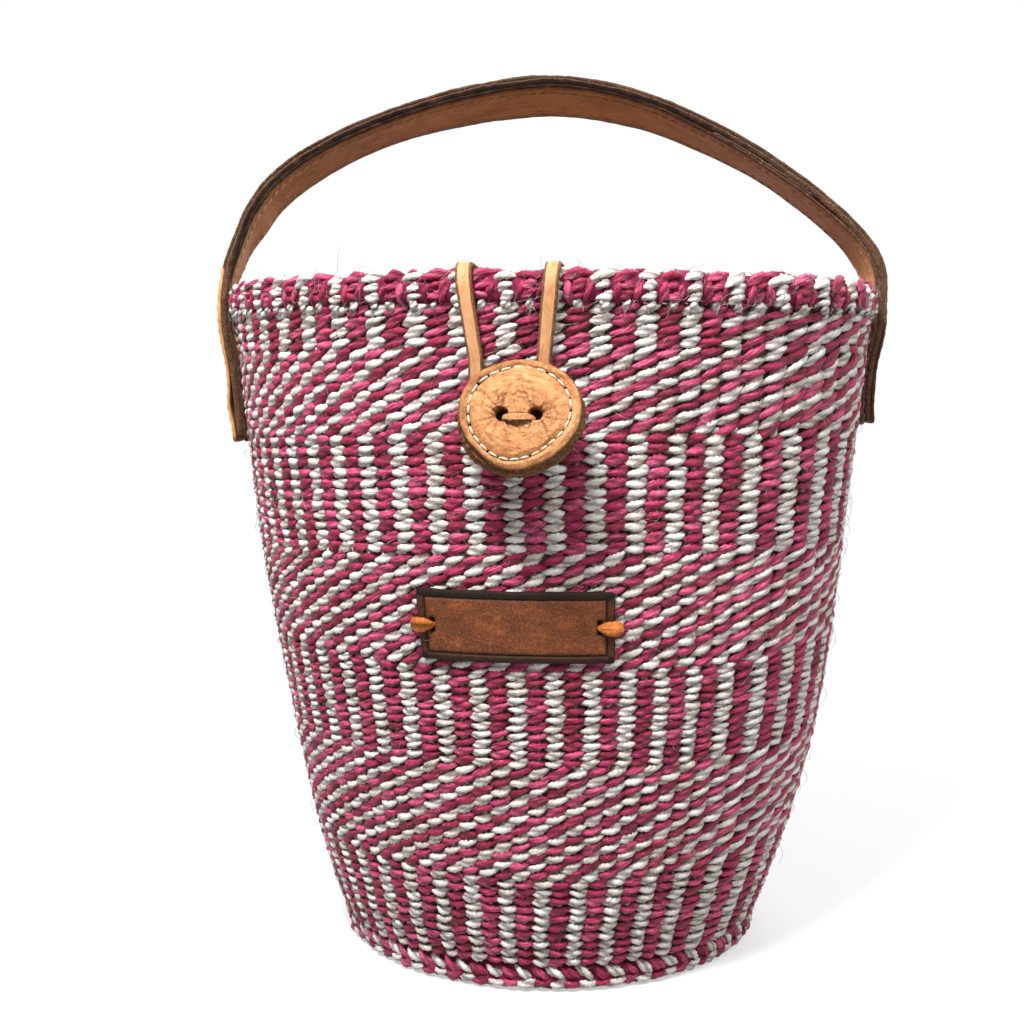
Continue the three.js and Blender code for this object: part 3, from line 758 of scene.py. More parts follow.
warp_radius = 1.2 * mm
warp_depth = 2.3 * mm
warp_sides = 6
warp_parts = []
stands = [
    (low * mm, high * mm, turn)
    for _, low, high, _, warps, swing, first_turn, *_ in bands
    for turn in warp_turn(np.arange(warps), warps, swing, first_turn)
]
for low, high, turn in stands:
    z = np.linspace(max(low, wall_bottom), min(high, basket_height - rim_height), 4)
    out, side = bearings(turn)
    centre = at_turn(turn, wall_radius(z) - warp_depth, z)
    every = np.ones((len(z), 1))
    rings = tube_rings(centre, side * every, out * every, warp_radius, warp_sides)
    warp_parts.append(skin(rings, along=z / (3 * mm), girth=np.arange(warp_sides + 1) / warp_sides))
points, corners, starts, uv = join_skins(warp_parts)
n = len(stands)
warp_yarn = np.stack([np.zeros(n), 0.3 * rng.rand(n), rng.rand(n), np.ones(n)], 1)
warp_yarn = np.repeat(warp_yarn, len(points) // n, 0)
warps_piece = new_piece("warps", points, corners, starts, sisal, uv=uv, yarn=warp_yarn)
print("warps and shell made")

# %% [markdown]
# The rim is bound: a rope of two colours lies on top, and under it magenta wraps hold the roll in blocks
# of two, with short strands between them, while the natural strand bulges out in lumps between the
# blocks. The warps end here, cut off short and frayed. Inside, plain wraps cover the roll.

# %% Rim
rim_warps, rim_swing, rim_turn = bands[-1][4:7]
pairs = rim_warps // 2
pair = np.arange(pairs)


def on_pair(share):
    """Turn of a place in each pair of warps: 0 is the natural warp, 0.5 the magenta one."""
    return warp_turn(2 * (pair + share), rim_warps, rim_swing, rim_turn)


def rim_parts(name, share, radius, z, elevation, tilt, size, dye, sway=0.25 * mm):
    """One strand of the rim at every pair of warps, longer where the warps stand wider apart."""
    n = pairs
    turn = on_pair(share) + rng.normal(0, sway, n) / rim_radius
    z = z + rng.normal(0, 0.6 * sway, n)
    size = np.array(size) * mm * rng.normal(1, 0.09, (n, 3))
    longer = np.interp(turn, side_turn, apart) - 1
    size[:, 0] *= 1 + longer * abs(math.cos(math.radians(tilt)))
    size[:, 2] *= 1 + longer * abs(math.sin(math.radians(tilt)))
    tilt = rng.normal(math.radians(tilt), math.radians(7), n)
    radius = radius + rng.normal(0, 0.15 * mm, n)
    place = round_the_axis(turn, radius, z, math.radians(elevation), tilt)
    return copies(name, two_ply, sisal, *place, size, dye)


rim_section = round_section(rim_radius, basket_height - rim_height / 2 - 0.4 * mm, 5.2 * mm, 8.8 * mm)
rim_core = skin_piece("rim_core", skin(ring_rings(*rim_section), closed=True), shaded_deep_magenta)
top = basket_height
rim_table = [
    # name, place in the pair, radius and depth below the top in mm, elevation, tilt, size in mm, dye
    ("rope_natural", 0.02, 115.2, 2.7, 34, 20, (11.2, 3.4, 4.3), 0),
    ("rope_magenta", 0.5, 115.2, 2.7, 34, 20, (11.6, 3.5, 4.2), 1),
    ("inner_rope_natural", 0.3, 113.6, 2.6, 128, -22, (11.0, 3.2, 4.0), 0),
    ("inner_rope_magenta", 0.8, 113.6, 2.6, 128, -22, (11.0, 3.2, 4.0), 1),
    ("wrap_left", 0.31, 115.7, 6.5, 0, 86, (8.8, 3.2, 3.9), 1),
    ("wrap_right", 0.70, 115.7, 6.5, 0, 80, (9.0, 3.2, 3.8), 1),
    ("grain_upper", 0.5, 116.0, 5.1, 8, 20, (7.8, 3.0, 3.4), 1),
    ("grain_lower", 0.5, 116.0, 7.8, -6, 16, (7.6, 3.0, 3.4), 1),
    ("lump_upper", 0.0, 116.2, 5.3, 8, 22, (6.6, 3.0, 3.6), 0),
    ("lump_lower", 0.0, 116.2, 8.2, -4, 20, (6.4, 3.0, 3.6), 0),
    ("stub_natural", 0.02, 116.2, 10.4, -20, 78, (3.9, 2.4, 3.9), 0),
    ("stub_magenta", 0.5, 116.0, 10.3, -16, 74, (4.0, 2.3, 3.4), 0),
]
rim_pieces = [
    rim_parts("rim_" + name, share, radius * mm, top - depth * mm, elevation, tilt, size, dye)
    for name, share, radius, depth, elevation, tilt, size, dye in rim_table
]
n = 2 * rim_warps
inner_index = np.arange(n)
inner_turn = warp_turn(inner_index / 2, rim_warps, rim_swing, rim_turn)
inner_turn = inner_turn + rng.normal(0, 0.2 * mm, n) / rim_radius
inner_size = np.array([8.6 * mm, 2.2 * mm, 3.9 * mm]) * rng.normal(1, 0.07, (n, 3))
inner_tilt = rng.normal(math.radians(78), math.radians(5), n)
rim_pieces.append(copies(
    "rim_inner_wraps", plain_ply, sisal,
    *round_the_axis(inner_turn, 112.6 * mm, top - 6.4 * mm, math.pi, inner_tilt),
    inner_size, (inner_index // 2) % 2,
))
print("rim pieces:", len(rim_pieces))

# %% [markdown]
# Round the foot runs a braid of two rows that slant against each other, so that it reads as a row of
# arrowheads, one magenta, the next natural. The base is twined in plain rings like a mat.

# %% Braid round the foot, and the base
chevrons = 92
edge_radius = float(wall_radius(wall_bottom)) - 4.6 * mm
edge_section = round_section(edge_radius, 5.6 * mm, 3.6 * mm, 9.4 * mm)
edge_core = skin_piece("edge_core", skin(ring_rings(*edge_section), closed=True), shaded_deep_magenta)


def edge_row(name, offset, out, z, elevation, tilt, size, model=two_ply):
    turn = (np.arange(chevrons) + offset) * 2 * math.pi / chevrons
    turn = turn + rng.normal(0, 0.2 * mm, chevrons) / edge_radius
    size = np.array(size) * mm * rng.normal(1, 0.07, (chevrons, 3))
    tilt = rng.normal(math.radians(tilt), math.radians(5), chevrons)
    z = z + rng.normal(0, 0.12 * mm, chevrons)
    place = round_the_axis(turn, edge_radius + out, z, math.radians(elevation), tilt)
    return copies(name, model, sisal, *place, size, np.arange(chevrons) % 2)


edge_pieces = [
    edge_row("edge_row_upper", 0.0, 0.7 * mm, 6.6 * mm, 0, -34, (9.4, 3.2, 4.0)),
    edge_row("edge_row_lower", 0.12, 0.0 * mm, 2.9 * mm, -24, 14, (9.0, 3.1, 4.2)),
    edge_row("edge_row_under", 0.5, -1.2 * mm, 2.0 * mm, -88, 30, (8.0, 2.2, 3.8), plain_ply),
    edge_row("edge_row_inner", 0.3, -1.0 * mm, 8.2 * mm, 160, 12, (7.2, 2.0, 4.8), plain_ply),
]

base_radius = 73.2 * mm
base_top = 6 * mm
base_pitch = 3.25 * mm
base_stitch = np.array([7.2 * mm, 2.1 * mm, 1.16 * base_pitch])
base_sink = 0.86 * base_stitch[1]


def base_side(name, z, elevation):
    turns, radii = [0.0], [0.0]
    for ring in range(1, int(base_radius / base_pitch)):
        radius = ring * base_pitch
        count = max(5, int(round(2 * math.pi * radius / (5.2 * mm))))
        turns += list((np.arange(count) + 0.5 * ring) * 2 * math.pi / count)
        radii += [radius] * count
    n = len(turns)
    size = base_stitch * rng.normal(1, 0.07, (n, 3))
    tilt = rng.normal(math.radians(14), math.radians(5), n)
    place = round_the_axis(np.array(turns), np.array(radii), np.full(n, z), math.radians(elevation), tilt)
    return copies(name, plain_ply, sisal, *place, size, 0)


base_pieces = [
    base_side("base_underside", 0.2 * mm + base_sink, -90),
    base_side("base_floor", base_top - base_sink, 90),
]
disc_steps = 96
disc_out = base_radius / mm
disc_edge = [  # reach and height
    (0.1, 1.6), (disc_out - 0.4, 1.6), (disc_out, 2.2), (disc_out, 4.0), (disc_out - 0.4, 4.5), (0.1, 4.5),
]
out, _ = bearings(np.arange(disc_steps) * 2 * math.pi / disc_steps)
disc_rings = np.stack([out * reach * mm + (0, 0, height * mm) for reach, height in disc_edge])
base_disc = skin_piece("base_disc", skin(disc_rings), shaded_deep_natural)
print("braid and base made")

# %% [markdown]
# Hand-spun sisal is hairy. Broken fibres stand off the strands everywhere, most of them near the rim and
# where the warps are cut. Each is a thin tapering three-sided tube bent in an arc.

# %% Loose fibres
fibre_steps, fibre_sides = 6, 3


def fibres(name, places, runs, outs, spans, dye, arch=0.18, thick=0.085 * mm):
    """Fibres from places along runs, bent towards outs."""
    share = np.linspace(0, 1, fibre_steps)
    n = len(places)
    side = np.cross(runs, outs)
    bend = rng.normal(0, 0.16, n)[:, None, None]
    lift = arch * rng.uniform(0.4, 1.6, n)[:, None, None]
    curve = (
        places[:, None] + spans[:, None, None] * (
            share[None, :, None] * runs[:, None]
            + lift * (4 * share * (1 - share))[None, :, None] * outs[:, None]
            + bend * np.sin(math.pi * 1.5 * share)[None, :, None] * side[:, None]
        )
    )
    corner = np.arange(fibre_sides) * 2 * math.pi / fibre_sides
    taper = thick * (1 - 0.75 * np.abs(share - 0.35))
    rings = (
        curve[:, :, None]
        + (taper[:, None] * np.cos(corner))[None, :, :, None] * side[:, None, None]
        + (taper[:, None] * np.sin(corner))[None, :, :, None] * outs[:, None, None]
    )
    girth = np.arange(fibre_sides + 1) / fibre_sides
    made = join_skins([skin(one, along=share, girth=girth) for one in rings])
    yarn = np.stack([np.broadcast_to(dye, n), rng.uniform(0.3, 1, n), rng.rand(n), np.ones(n)], 1)
    return skin_piece(name, made, sisal, yarn=np.repeat(yarn, fibre_steps * fibre_sides, 0))


def wall_fibres(name, n, lowest, highest, longest, on_radius=None):
    """Broken fibres all over the wall, half of them along the strands."""
    z = rng.uniform(lowest, highest, n)
    turn = rng.uniform(-math.pi, math.pi, n)
    radius = wall_radius(z) if on_radius is None else np.full(n, on_radius)
    outward, along = bearings(turn)
    angle = rng.uniform(-math.pi, math.pi, n)
    angle = np.where(rng.rand(n) < 0.5, rng.normal(0.4, 0.5, n) + math.pi * rng.randint(0, 2, n), angle)
    upright = np.array([[0, 0, 1.0]])
    flat = np.cos(angle)[:, None] * along + np.sin(angle)[:, None] * upright
    runs = unit(flat + rng.uniform(-0.06, 0.08, n)[:, None] * outward)
    outs = unit(outward - (outward * runs).sum(1, keepdims=True) * runs)
    places = at_turn(turn, radius - 0.5 * mm, z)
    spans = np.clip(rng.gamma(2.2, longest / 5, n), 2 * mm, longest)
    return fibres(name, places, runs, outs, spans, (rng.rand(n) < 0.24).astype(float))


def stub_fibres(name, share, z, many):
    """The frayed ends of the warps, which are cut off under the rim."""
    n = pairs * many
    turn = np.repeat(on_pair(share), many) + rng.normal(0, 0.7 * mm, n) / rim_radius
    outward, along = bearings(turn)
    runs = unit(0.2 * outward + rng.normal(0, 0.3, n)[:, None] * along + np.array([[0, 0, -1.0]]))
    outs = unit(outward - (outward * runs).sum(1, keepdims=True) * runs)
    rise = z + rng.normal(0, 0.4 * mm, n)
    places = outward * (rim_outer - 1.0 * mm) + np.stack([0 * turn + mouth_offset, 0 * turn, rise], 1)
    return fibres(name, places, runs, outs, rng.uniform(1.0, 2.6, n) * mm, 0.0, arch=0.12, thick=0.10 * mm)


loose = [
    wall_fibres("fibres_low", 700, 8 * mm, 120 * mm, 11 * mm),
    wall_fibres("fibres_high", 1000, 120 * mm, 230 * mm, 12 * mm),
    wall_fibres("fibres_rim", 520, basket_height - 11 * mm, basket_height - 1.5 * mm, 10 * mm, rim_outer),
    stub_fibres("fibres_natural_stubs", 0.02, top - 11.4 * mm, 7),
    stub_fibres("fibres_magenta_stubs", 0.5, top - 11.0 * mm, 7),
]
fibre_points = sum(len(piece.data.vertices) for piece in loose)
print("loose fibres:", fibre_points // (fibre_steps * fibre_sides))

# %% [markdown]
# The leathers differ in colour and wear but are made alike: broad patches, wrinkles and pores from noise on
# each piece's own UV map in millimetres, and a wear value painted on the vertices, which darkens cracks,
# burnt edges and pressed lines, and also paints shade into holes, grooves and edges that lie in shadow.
# Raw cut edges are fibrous, nearly black in the deep and speckled with tan.

# %% Leather, raw edges and thread
def pushed(tree, place, grain):
    """The place, pushed about by the grain, so that a pattern drawn on it wavers."""
    push = node_in(tree, "ShaderNodeVectorMath", operation="MULTIPLY_ADD")
    push.inputs[1].default_value = (1.1, 1.1, 0)
    tree.links.new(grain, push.inputs[0])
    tree.links.new(place, push.inputs[2])
    return push.outputs[0]


def creases_on(tree, place, grain):
    """Fine creases in patches: 1 on a crease."""
    cells = tree.nodes.new("ShaderNodeTexVoronoi")
    cells.feature = "DISTANCE_TO_EDGE"
    cells.inputs["Scale"].default_value = 0.7
    tree.links.new(pushed(tree, place, grain), cells.inputs["Vector"])
    crease = shades(tree, [(0.0, (1, 1, 1)), (0.10, (0, 0, 0))], cells.outputs["Distance"])
    patches = noise_on(tree, place, (0.16, 0.16, 1), 2.0)
    return sums(tree, "MULTIPLY", crease, shades(tree, [(0.42, (0, 0, 0)), (0.6, (1, 1, 1))], patches))


def leather_finish(
    name, dark, middle, light, worn_and_shaded, wrinkle=(0.5, 0.5), specks=0.0, bump=0.5, rough=0.55, crackle=0.0,
):
    """Leather of three shades and one that the wear value mixes in, for wear and for painted shade. wrinkle
    is the scale of its wrinkles across and along.
    """
    made, tree = new_finish(name)
    place = strand_source(tree)
    broad = noise_on(tree, place, (0.09, 0.13, 1), 3.0)
    wrinkles = noise_on(tree, place, (*wrinkle, 1), 5.0, 0.62, 0.9)
    grain = noise_on(tree, place, (3.4, 3.4, 1), 3.0, 0.6)
    level = sums(tree, "MULTIPLY_ADD", wrinkles, 0.5, sums(tree, "MULTIPLY", broad, 0.5))
    colour = shades(tree, [(0.34, dark), (0.5, middle), (0.66, light)], level)
    pores = shades(tree, [(0.35, (0.7, 0.66, 0.62)), (0.55, (1, 1, 1))], grain)
    colour = mixed(tree, "MULTIPLY", 0.5, colour, pores)
    if specks:
        scattered = noise_on(tree, place, (4.2, 4.2, 1), 2.0, 0.5)
        spots = shades(tree, [(0.6, (0, 0, 0)), (0.72, (1, 1, 1))], scattered)
        colour = mixed(tree, "ADD", specks, colour, mixed(tree, "MULTIPLY", 1.0, spots, (0.9, 0.34, 0.13, 1)))
    colour = mixed(tree, "MIX", yarn_source(tree)[0], colour, (*worn_and_shaded, 1))
    height = sums(tree, "MULTIPLY_ADD", grain, 0.35, wrinkles)
    if crackle:
        creases = creases_on(tree, place, grain)
        height = sums(tree, "MULTIPLY_ADD", creases, -crackle, height)
        colour = mixed(tree, "MIX", sums(tree, "MULTIPLY", creases, 0.2), colour, (*dark, 1))
    roughness = sums(tree, "MULTIPLY_ADD", grain, 0.25, rough - 0.12)
    return finished(made, tree, colour, roughness, height, bump, 0.6 * mm, specular=0.16)


def raw_finish(name, deep, middle, speck, stretch=(0.8, 3.0)):
    """A cut edge: fibres, specks, and the deep colour that the wear value mixes in, for worn and burnt places
    and for painted shade.
    """
    made, tree = new_finish(name)
    place = strand_source(tree)
    grain = noise_on(tree, place, (*stretch, 1), 6.0, 0.72, 0.6)
    spots = noise_on(tree, place, (2.4, 3.2, 1), 3.0, 0.7)
    colour = shades(tree, [(0.32, deep), (0.55, middle), (0.74, speck)], grain)
    speckled = shades(tree, [(0.56, (0, 0, 0)), (0.66, (1, 1, 1))], spots)
    colour = mixed(tree, "MIX", speckled, colour, (*speck, 1))
    colour = mixed(tree, "MIX", yarn_source(tree)[0], colour, (*deep, 1))
    return finished(made, tree, colour, 0.9, sums(tree, "ADD", grain, spots), 0.9, 0.6 * mm, specular=0.06)


def thread_finish(name, dark, light):
    made, tree = new_finish(name)
    place = strand_source(tree)
    twist = node_in(tree, "ShaderNodeTexWave", wave_type="BANDS", bands_direction="DIAGONAL")
    twist.inputs["Scale"].default_value = 2.2
    twist.inputs["Distortion"].default_value = 1.0
    tree.links.new(place, twist.inputs["Vector"])
    plies = twist.outputs["Fac"]
    fibre = noise_on(tree, place, (3, 14, 1), 3.0)
    # painted shade: the colour darkens in the grooves between the thread's plies
    ply_groove_shade = shades(tree, [(0.1, (0.6, 0.56, 0.5)), (0.6, (1, 1, 1))], plies)
    colour = mixed(tree, "MULTIPLY", 0.5, shades(tree, [(0.3, dark), (0.65, light)], fibre), ply_groove_shade)
    return finished(made, tree, colour, 0.6, sums(tree, "ADD", fibre, plies), 0.6, 0.2 * mm, specular=0.3)


cover_leather = leather_finish(
    "cover_leather", (0.30, 0.115, 0.04), (0.53, 0.24, 0.088), (0.68, 0.36, 0.15), (0.085, 0.044, 0.024),
    wrinkle=(0.25, 0.9),
)
lining_leather = leather_finish(
    "lining_leather", (0.36, 0.145, 0.048), (0.52, 0.225, 0.075), (0.64, 0.31, 0.115), (0.06, 0.028, 0.013),
    wrinkle=(0.2, 0.7), bump=0.35, rough=0.5,
)
face_leather = leather_finish(
    "face_leather", (0.36, 0.135, 0.047), (0.55, 0.24, 0.095), (0.67, 0.33, 0.145), (0.03, 0.012, 0.006),
    bump=0.9, rough=0.6, crackle=0.45,
)
loop_leather = leather_finish(
    "loop_leather", (0.42, 0.19, 0.08), (0.55, 0.275, 0.13), (0.65, 0.35, 0.18), (0.26, 0.125, 0.06),
    wrinkle=(0.25, 0.6), bump=0.35,
)
tie_leather = leather_finish(
    "tie_leather", (0.26, 0.07, 0.015), (0.50, 0.155, 0.032), (0.68, 0.26, 0.065), (0.10, 0.035, 0.012),
    wrinkle=(1.4, 0.5), bump=1.0, rough=0.5,
)
label_leather = leather_finish(
    "label_leather", (0.06, 0.018, 0.008), (0.128, 0.038, 0.014), (0.27, 0.078, 0.027), (0.006, 0.004, 0.003),
    wrinkle=(0.9, 0.9), specks=0.7, bump=0.6, rough=0.6,
)
back_leather = leather_finish(
    "back_leather", (0.12, 0.05, 0.022), (0.22, 0.09, 0.038), (0.33, 0.15, 0.065), (0.05, 0.02, 0.01),
    wrinkle=(0.6, 0.6), bump=0.8, rough=0.7,
)
raw_core = raw_finish("raw_core", (0.014, 0.008, 0.006), (0.125, 0.064, 0.04), (0.56, 0.31, 0.185), (1.1, 2))
raw_edge = raw_finish("raw_edge", (0.035, 0.016, 0.007), (0.22, 0.105, 0.045), (0.58, 0.33, 0.18), (0.9, 2.2))
painted_shade_pit = raw_finish("painted_shade_pit", (0.004, 0.003, 0.002), (0.012, 0.007, 0.004), (0.05, 0.025, 0.012))
cream_thread = thread_finish("cream_thread", (0.48, 0.38, 0.26), (0.76, 0.66, 0.52))
tan_thread = thread_finish("tan_thread", (0.36, 0.20, 0.10), (0.68, 0.44, 0.26))

# %% [markdown]
# The strap is three leathers sewn together: a thin smooth cover, a thick core with raw dark edges, and a
# lining. It lies sewn on the wall on both sides and rises in one bow, which leans back. Each leather is one
# strip from end to end, swept along the bow's formula, because the leather bends at the rim and has no
# seam there. The core's edges are torn a little at every millimetre. On the right shoulder a short filler
# lies between core and lining, and the lining dips to pass it.

# %% The strap's line
strap_width = 22 * mm
strap_thickness = 4.8 * mm
seat_gap = 0.3 * mm
hinge_height = 242 * mm
arch_half_span = rim_outer + seat_gap + strap_thickness
arch_rise = 78 * mm
arch_roundness = 1.72
arch_skew = 5.5 * mm
handle_lean = math.radians(16.5)
ease_on_wall = 20 * mm
ends = {  # which side, how far it reaches below the hinge, and how far its foot stands off
    "left": (-1, 59 * mm, 0.3 * mm),
    "right": (1, 52.4 * mm, 1.8 * mm),
}
on_left, on_right = -1.0, 2.0  # the strap's share on its two ends. Along the arch it runs from 0 to 1
strap_step = 1.1 * mm


def end_line(side):
    """Across, height above the hinge and share of an end that is sewn on the wall, from its foot up."""
    sign, drop, flare = ends[side]
    z = np.linspace(hinge_height - drop, hinge_height, 60)
    ease = smooth(z, basket_height - rim_height - ease_on_wall, basket_height - rim_height)
    backing = wall_radius(z) * (1 - ease) + rim_outer * ease
    out = backing + seat_gap + strap_thickness + flare * (1 - (z - z[0]) / drop) ** 8
    share = np.full(len(z), on_left if sign < 0 else on_right)
    return np.stack([wall_lean(z) - mouth_offset + sign * out, z - hinge_height, share], 1)


turn = np.linspace(0, math.pi, 420)
c, s = np.cos(turn), np.sin(turn)
arch_line = np.stack([
    -arch_half_span * np.sign(c) * np.abs(c) ** (2 / arch_roundness) - arch_skew * np.sin(2 * turn) ** 2,
    arch_rise * s ** (2 / arch_roundness), turn / math.pi,
], 1)
# just above the rim the left side bends in a little
bend_in = 1.2 * mm * smooth(arch_line[:, 1], 0, 12 * mm) * (1 - smooth(arch_line[:, 1], 26 * mm, 38 * mm))
arch_line[:, 0] += np.where(arch_line[:, 2] < 0.5, bend_in, 0)
whole_line = np.concatenate([end_line("left")[:-1], arch_line, end_line("right")[::-1][1:]])
distance = lengths_along(whole_line[:, :2])
even = np.arange(0, distance[-1], strap_step)
strap_line = np.stack([np.interp(even, distance, whole_line[:, k]) for k in range(3)], 1)
strap_run = unit(np.gradient(strap_line[:, :2], axis=0))
strap_inward = np.stack([strap_run[:, 1], -strap_run[:, 0]], 1)
strap_share = strap_line[:, 2]
stations = len(even)
twists = [
    # share of the arch, and how far the strap is turned about its own line there, in degrees
    (-1, 0), (0, 0), (0.08, 3), (0.2, 3), (0.32, -1), (0.44, 6), (0.52, 6), (0.6, 3),
    (0.68, -3), (0.77, -10), (0.86, -10), (0.94, -6), (1, 0), (2, 0),
]
softening = 13  # stations
strap_twist = np.radians(np.interp(strap_share, *zip(*twists)))
strap_twist = np.convolve(strap_twist, np.ones(softening) / softening, "same")
# just above the rim the left end is also turned about its own length, so less of the lining shows
strap_turned = 0.12 * smooth(strap_line[:, 1], -9 * mm, 3 * mm)
strap_turned = strap_turned * (1 - smooth(strap_line[:, 1], 14 * mm, 27 * mm))
strap_turned[strap_share >= 0.5] = 0
print("the strap is", round(float(even[-1]) * 1000), "mm long,", stations, "stations")


end_corner = 2.5 * mm


def lean_back(x, up, across, twist, turned=0):
    """From the strap's own plane to the frame: below the rim upright, above it leaning back."""
    ease = 10 * mm
    ramp = np.where(up > ease, up, np.where(up < -ease, 0, (up + ease) ** 2 / (4 * ease)))
    angle = handle_lean * np.clip((up + ease) / (2 * ease), 0, 1)
    y = math.sin(handle_lean) * ramp + across * np.cos(angle + twist)
    z = hinge_height + up - (1 - math.cos(handle_lean)) * ramp - across * np.sin(angle + twist)
    return np.stack(np.broadcast_arrays(mouth_offset + x - across * turned, y, z), -1)


def strap_layer(
    name, top, thick, wide, finish, ragged, first=0, last=stations, across=9, wavy=0.05 * mm,
    edge_wear_and_shade=0.0, shade_near_lining=False, raw_after=None,
):
    """A leather of the strap. top is its depth below the cover's outer face, at every station."""
    section = flat_section(wide, thick, across, corner=0.4)
    n = last - first
    off_middle, raised = section[:, 0], section[:, 1]
    w = np.broadcast_to(off_middle, (n, len(section))).copy()
    # the ends have round corners
    near_end = np.minimum(np.arange(n), np.arange(n)[::-1]) * strap_step
    rounding = np.clip(end_corner - near_end, 0, None)
    narrower = end_corner - np.sqrt(np.clip(end_corner ** 2 - rounding ** 2, 0, None))
    w *= (1 - narrower / (wide / 2))[:, None]
    # the long edges are torn
    for side in (-1, 1):
        torn = uneven(n, 1.6, ragged) + uneven(n, 7, ragged)
        edge = np.clip(side * off_middle / (wide / 2), 0, 1) ** 6
        depth_torn = uneven_field(n, len(section), 1.3, 2, 0.5 * ragged)
        w += side * edge[None] * (torn[:, None] + depth_torn)
    middle = np.broadcast_to(top, stations)[first:last] + thick / 2
    depth = middle[:, None] - raised + uneven_field(n, len(section), 9, 4, wavy)
    place = strap_line[first:last, None, :2] + depth[..., None] * strap_inward[first:last, None]
    twist, turned = strap_twist[first:last, None], strap_turned[first:last, None]
    bent = lean_back(place[..., 0], place[..., 1], w, twist, turned)
    at_edge = np.clip((np.abs(off_middle) - 0.445 * wide) / (0.02 * wide), 0, 1)
    # painted shade: the core's cut edge is darkened on its half next to the lining, the side in shadow
    if shade_near_lining:  # dark next to the lining
        at_edge *= smooth(-raised / thick, -0.42, -0.05)
    wear_and_shade = np.broadcast_to(edge_wear_and_shade, stations)[first:last, None] * at_edge
    wear_and_shade = np.clip(wear_and_shade + uneven_field(n, len(section), 2, 2, 0.12) * at_edge, 0, 1)
    shape = skin(bent, even[first:last] / mm, girth_of(section) / mm)
    made = skin_piece(name, shape, finish, yarn=wear_and_shade_yarn(wear_and_shade))
    if raw_after is not None:  # the cut edges look raw from this share of the arch on
        made.data.materials.append(raw_core)
        paint_edges(made, across)
        side = np.zeros(len(made.data.polygons), np.int32)
        made.data.polygons.foreach_get("material_index", side)
        row = np.minimum(np.arange(len(side)) // len(section), n - 1)
        side[strap_share[first:last][row] < raw_after] = 0
        made.data.polygons.foreach_set("material_index", side)
    return made


def paint_edges(made, across):
    """Gives the faces on the cut edges of a flat strip the raw finish. across is that of its section."""
    side = np.zeros(len(made.data.polygons), np.int32)
    points_round = 2 * across + 6
    column = np.tile(np.arange(points_round), (len(side) - 2) // points_round)
    side[:len(column)] = (column >= 2 * across + 2) | ((column >= across - 1) & (column <= across + 2))
    made.data.polygons.foreach_set("material_index", side)


cover_thickness, core_thickness, lining_thickness = 1.1 * mm, 2.5 * mm, 1.1 * mm
core_top = cover_thickness
core_bottom = core_top + core_thickness
filler_start, filler_end, filler_thickness = 0.70, 0.84, 0.8 * mm
lining_ease = 18 * mm / (2 * arch_half_span)
dip = smooth(strap_share, filler_start - lining_ease, filler_start)
dip = dip - smooth(strap_share, filler_end, filler_end + lining_ease)
lining_top = core_bottom + (filler_thickness + 0.1 * mm) * dip
# below the left hinge the cover is slack, with one fold
left_end = np.where(strap_share < 0, 1.0, 0.0)
left_fold = left_end * np.exp(-(((strap_line[:, 1] + 46 * mm) / (6 * mm)) ** 2))
left_slack = left_end * smooth(strap_line[:, 1], -18 * mm, -40 * mm)
cover_top = -1.0 * mm * left_fold - 0.25 * mm * left_slack
# how dark the edges are, along the strap: on the core and the lining this is painted shade, on the cover wear
cover_wear = np.interp(strap_share, [-0.5, 0.0, 0.05, 1.0, 1.5], [0.05, 0.2, 0.35, 0.35, 0.3])
core_edge_shade = np.interp(strap_share, [-1.0, 0.0, 0.1, 0.6, 0.85, 2.0], [0.35, 0.4, 1.0, 1.0, 0.5, 0.3])
lining_edge_shade = np.interp(strap_share, [-1.0, 0.0, 0.6, 0.9, 2.0], [0.5, 0.9, 0.9, 0.3, 0.2])
everywhere = -2
inside_filler = np.nonzero((strap_share > filler_start) & (strap_share < filler_end))[0]
strap_pieces = [
    strap_layer(
        "strap_cover", cover_top, cover_thickness, strap_width - 0.3 * mm, cover_leather, 0.16 * mm,
        wavy=0.1 * mm, edge_wear_and_shade=cover_wear, raw_after=0.02,
    ),
    strap_layer(
        "strap_core", core_top, core_thickness, strap_width - 0.1 * mm, raw_core, 0.2 * mm, 1, stations - 1,
        wavy=0.04 * mm, edge_wear_and_shade=core_edge_shade, shade_near_lining=True,
    ),
    strap_layer(
        "strap_lining", lining_top, lining_thickness, strap_width - 0.5 * mm, lining_leather, 0.08 * mm,
        edge_wear_and_shade=lining_edge_shade, raw_after=everywhere,
    ),
    strap_layer(
        "strap_filler", core_bottom, filler_thickness, strap_width - 0.6 * mm, cover_leather, 0.22 * mm,
        int(inside_filler[0]), int(inside_filler[-1]), edge_wear_and_shade=0.4, raw_after=everywhere,
    ),
]

# %% [markdown]
# Two seams run along the strap on both faces, and short cross seams hold its ends on the wall. Each stitch
# is a small bowed thread, modelled once and copied.

# %% The strap's seams
def strap_place(at, w, depth):
    """The point at this distance along the strap, this far across it and below its face."""
    x = np.interp(at, even, strap_line[:, 0]) + depth * np.interp(at, even, strap_inward[:, 0])
    up = np.interp(at, even, strap_line[:, 1]) + depth * np.interp(at, even, strap_inward[:, 1])
    return lean_back(x, up, w, np.interp(at, even, strap_twist), np.interp(at, even, strap_turned))


def seam(name, finish, at, w, depth, size, over=1.0, crosswise=False):
    """Stitches at distances along the strap. over is 1 on the cover and -1 on the lining."""
    small = 0.6 * mm
    place = strap_place(at, w, depth)
    forward = unit(strap_place(at + small, w, depth) - strap_place(at - small, w, depth))
    sideways = unit(strap_place(at, w + small, depth) - strap_place(at, w - small, depth))
    run, other = (sideways, forward) if crosswise else (forward, sideways)
    outward = unit(strap_place(at, w, depth - small) - strap_place(at, w, depth + small)) * over
    wobble = rng.normal(0, 0.05, len(at))[:, None]
    run = unit(run + wobble * other)
    high = np.cross(run, -outward)
    return copies(name, thread_model, finish, place, np.stack([run, -outward, high], 2), size)


